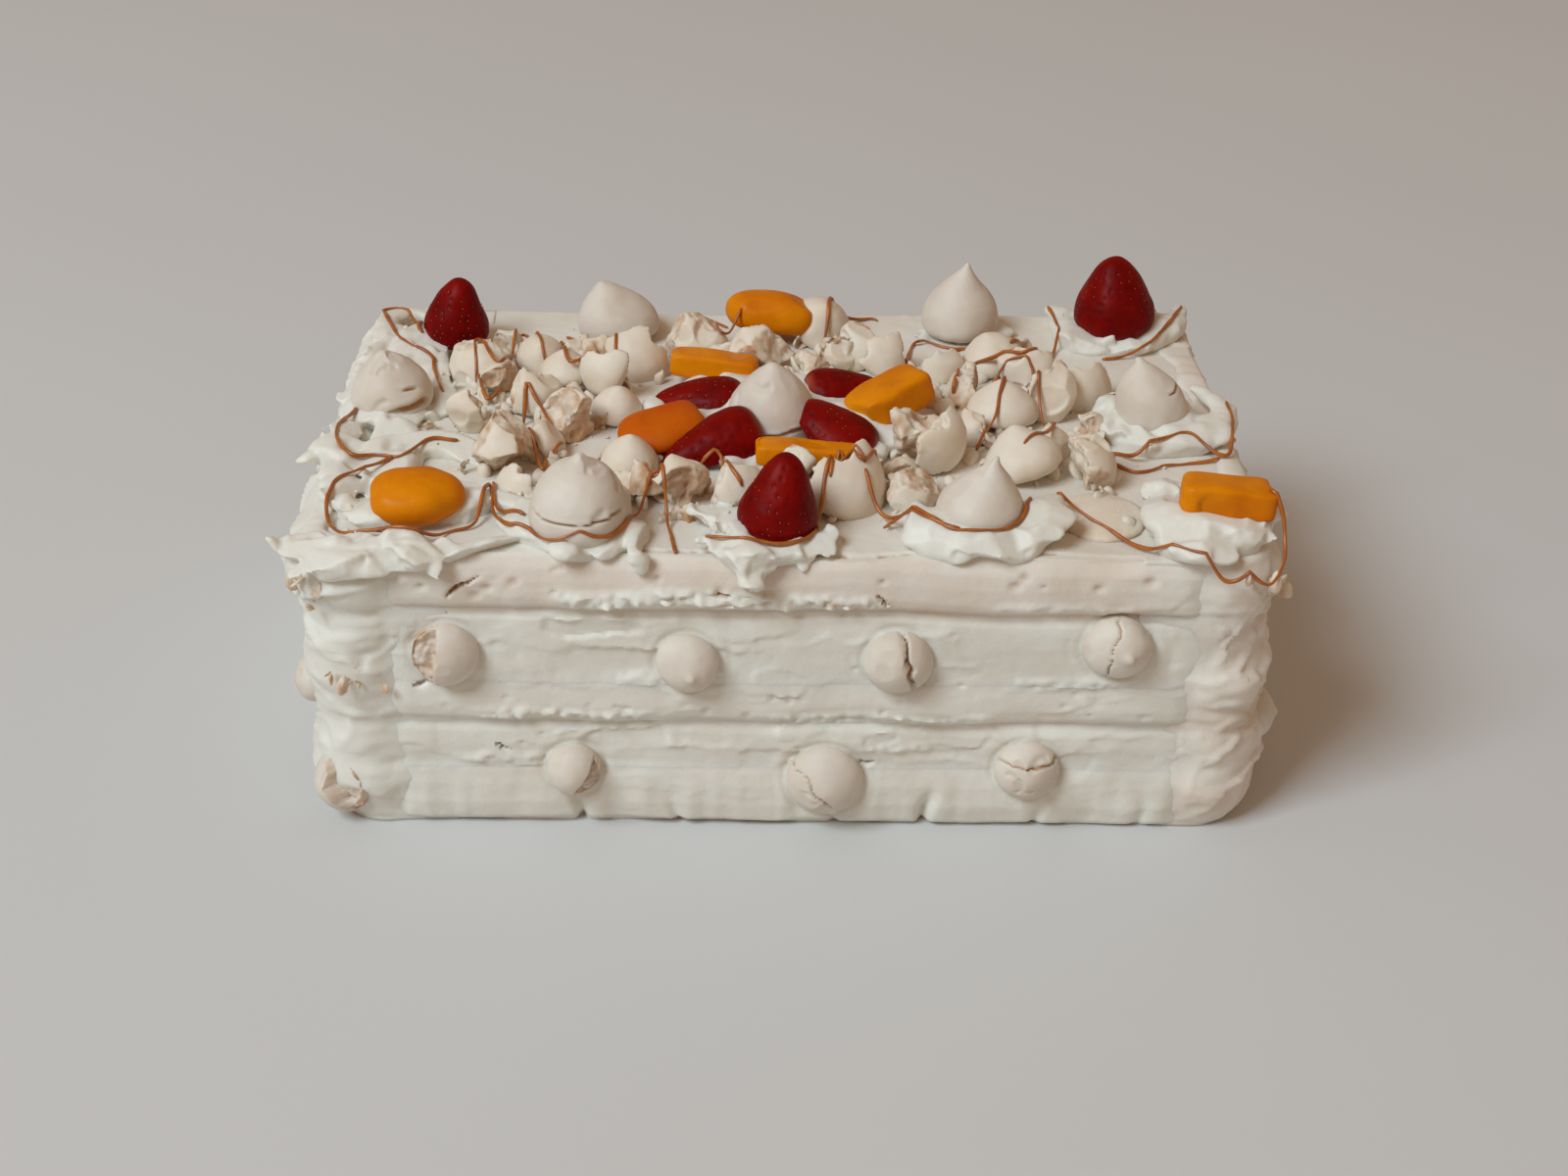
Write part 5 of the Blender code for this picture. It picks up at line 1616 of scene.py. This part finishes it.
def drizzle():
    """Threads of caramel laid over everything, bridging the gaps between high points."""
    bpy.context.view_layer.update()
    graph = bpy.context.evaluated_depsgraph_get()
    radius = 0.7
    joined = bmesh.new()
    runs = [[(x, y, 0) for x, y in run] for run in DRIZZLE] + [HANGING_LOOP]
    for number, run in enumerate(runs):
        path = through(run, 0.8)
        path[:, 0] += 0.4 * waves(path, 6, 500 + number)
        path[:, 1] += 0.4 * waves(path, 6, 530 + number)
        path = path if run is HANGING_LOOP else round_feet(path)
        under = np.array([surface_below(graph, x, y) for x, y, _ in path])
        path[:, 2] = settled(np.maximum(under + radius * 0.8, path[:, 2]))
        bm = bmesh.new()
        thread(bm, path, radius, number)
        poured(joined, mesh_of(bm))
    serve("caramel_drizzle", mesh_of(joined), CARAMEL)


def stray_crumbs():
    """Small crumbs dropped over the top."""
    bpy.context.view_layer.update()
    graph = bpy.context.evaluated_depsgraph_get()
    draw = random.Random("crumbs")
    bm = bmesh.new()
    bm.verts.layers.float.new("toast_and_shade")
    for _ in range(190):
        x, y = draw.uniform(-150, 150), draw.uniform(-96, 96)
        size = draw.uniform(0.35, 1.1)
        height = surface_below(graph, x, y)
        if math.hypot(x / 60, y / 45) < 0.8 or height > TOP + 8:
            continue
        squash = (draw.uniform(0.8, 1.3), draw.uniform(0.7, 1.1), draw.uniform(0.5, 0.9))
        crumb(bm, (x, y, height + 0.3 * size), size, squash, draw)
    serve("stray_crumbs", mesh_of(bm), BROKEN, None)


def lay_floor():
    """A plain pale floor."""
    bm = bmesh.new()
    bmesh.ops.create_grid(bm, x_segments=8, y_segments=8, size=3)
    mesh = bpy.data.meshes.new("floor")
    bm.to_mesh(mesh)
    bm.free()
    mesh.materials.append(pale_floor())
    floor = bpy.data.objects.new("floor", mesh)
    floor.location.z = -0.0002
    bpy.context.scene.collection.objects.link(floor)


def light_room():
    """Soft light from a window above and in front to the left, in a warm dim room."""
    lamp = bpy.data.lights.new("window", "AREA")
    lamp.size, lamp.energy, lamp.color = WINDOW_SIDE, WINDOW_WATTS, WINDOW_TINT
    holder = bpy.data.objects.new("window", lamp)
    holder.location = WINDOW_AT
    aim = Vector((0, 0, 0.06)) - Vector(WINDOW_AT)
    holder.rotation_euler = aim.to_track_quat("-Z", "Y").to_euler()
    bpy.context.scene.collection.objects.link(holder)
    world = bpy.data.worlds.new("soft_room")
    world.use_nodes = True
    room = world.node_tree.nodes["Background"]
    room.inputs["Color"].default_value = ROOM_TINT
    room.inputs["Strength"].default_value = ROOM_STRENGTH
    bpy.context.scene.world = world
    bpy.context.scene.view_settings.view_transform = "Standard"


def set_camera():
    """The camera at the photograph's viewing angle."""
    pitch, yaw, roll = (math.radians(a) for a in (PITCH, YAW, ROLL))
    flat = Vector((-math.sin(yaw), math.cos(yaw), 0)) * math.cos(pitch)
    ahead = flat - Vector((0, 0, math.sin(pitch)))
    level = Vector((math.cos(yaw), math.sin(yaw), 0))
    upright = level.cross(ahead)
    right = math.cos(roll) * level + math.sin(roll) * upright
    up = math.cos(roll) * upright - math.sin(roll) * level
    lens = bpy.data.cameras.new("camera")
    lens.sensor_fit = "HORIZONTAL"
    lens.sensor_width = FILM
    lens.lens = FOCAL_PIXELS * FILM / FRAME_PIXELS
    camera = bpy.data.objects.new("camera", lens)
    turn = Matrix((right, up, -ahead)).transposed().to_4x4()
    camera.matrix_world = Matrix.Translation(CAMERA_AT) @ turn
    bpy.context.scene.collection.objects.link(camera)
    bpy.context.scene.camera = camera


lay_floor()
light_room()
set_camera()
for row in LAYERS:
    layer(*row)
end_cream(0, "cream_coat_left", -1)
end_cream(1, "cream_coat_right", 1)
for i, (name, strokes) in enumerate(CREAM_STROKES.items()):
    dollop(i, name, strokes)
for i, row in enumerate(SIDE_KISSES):
    side_kiss(i, *row)
for i, row in enumerate(KISSES):
    kiss(i, *row)
for i, row in enumerate(STANDING_STRAWBERRIES):
    standing_strawberry(i, *row)
for i, row in enumerate(HALF_STRAWBERRIES):
    half_strawberry(i, *row)
for i, row in enumerate(PEACHES):
    peach(i, *row)
for i, (name, rows) in enumerate(SHARDS.items()):
    heap(i, name, rows)
torn_bits()
stray_crumbs()
drizzle()
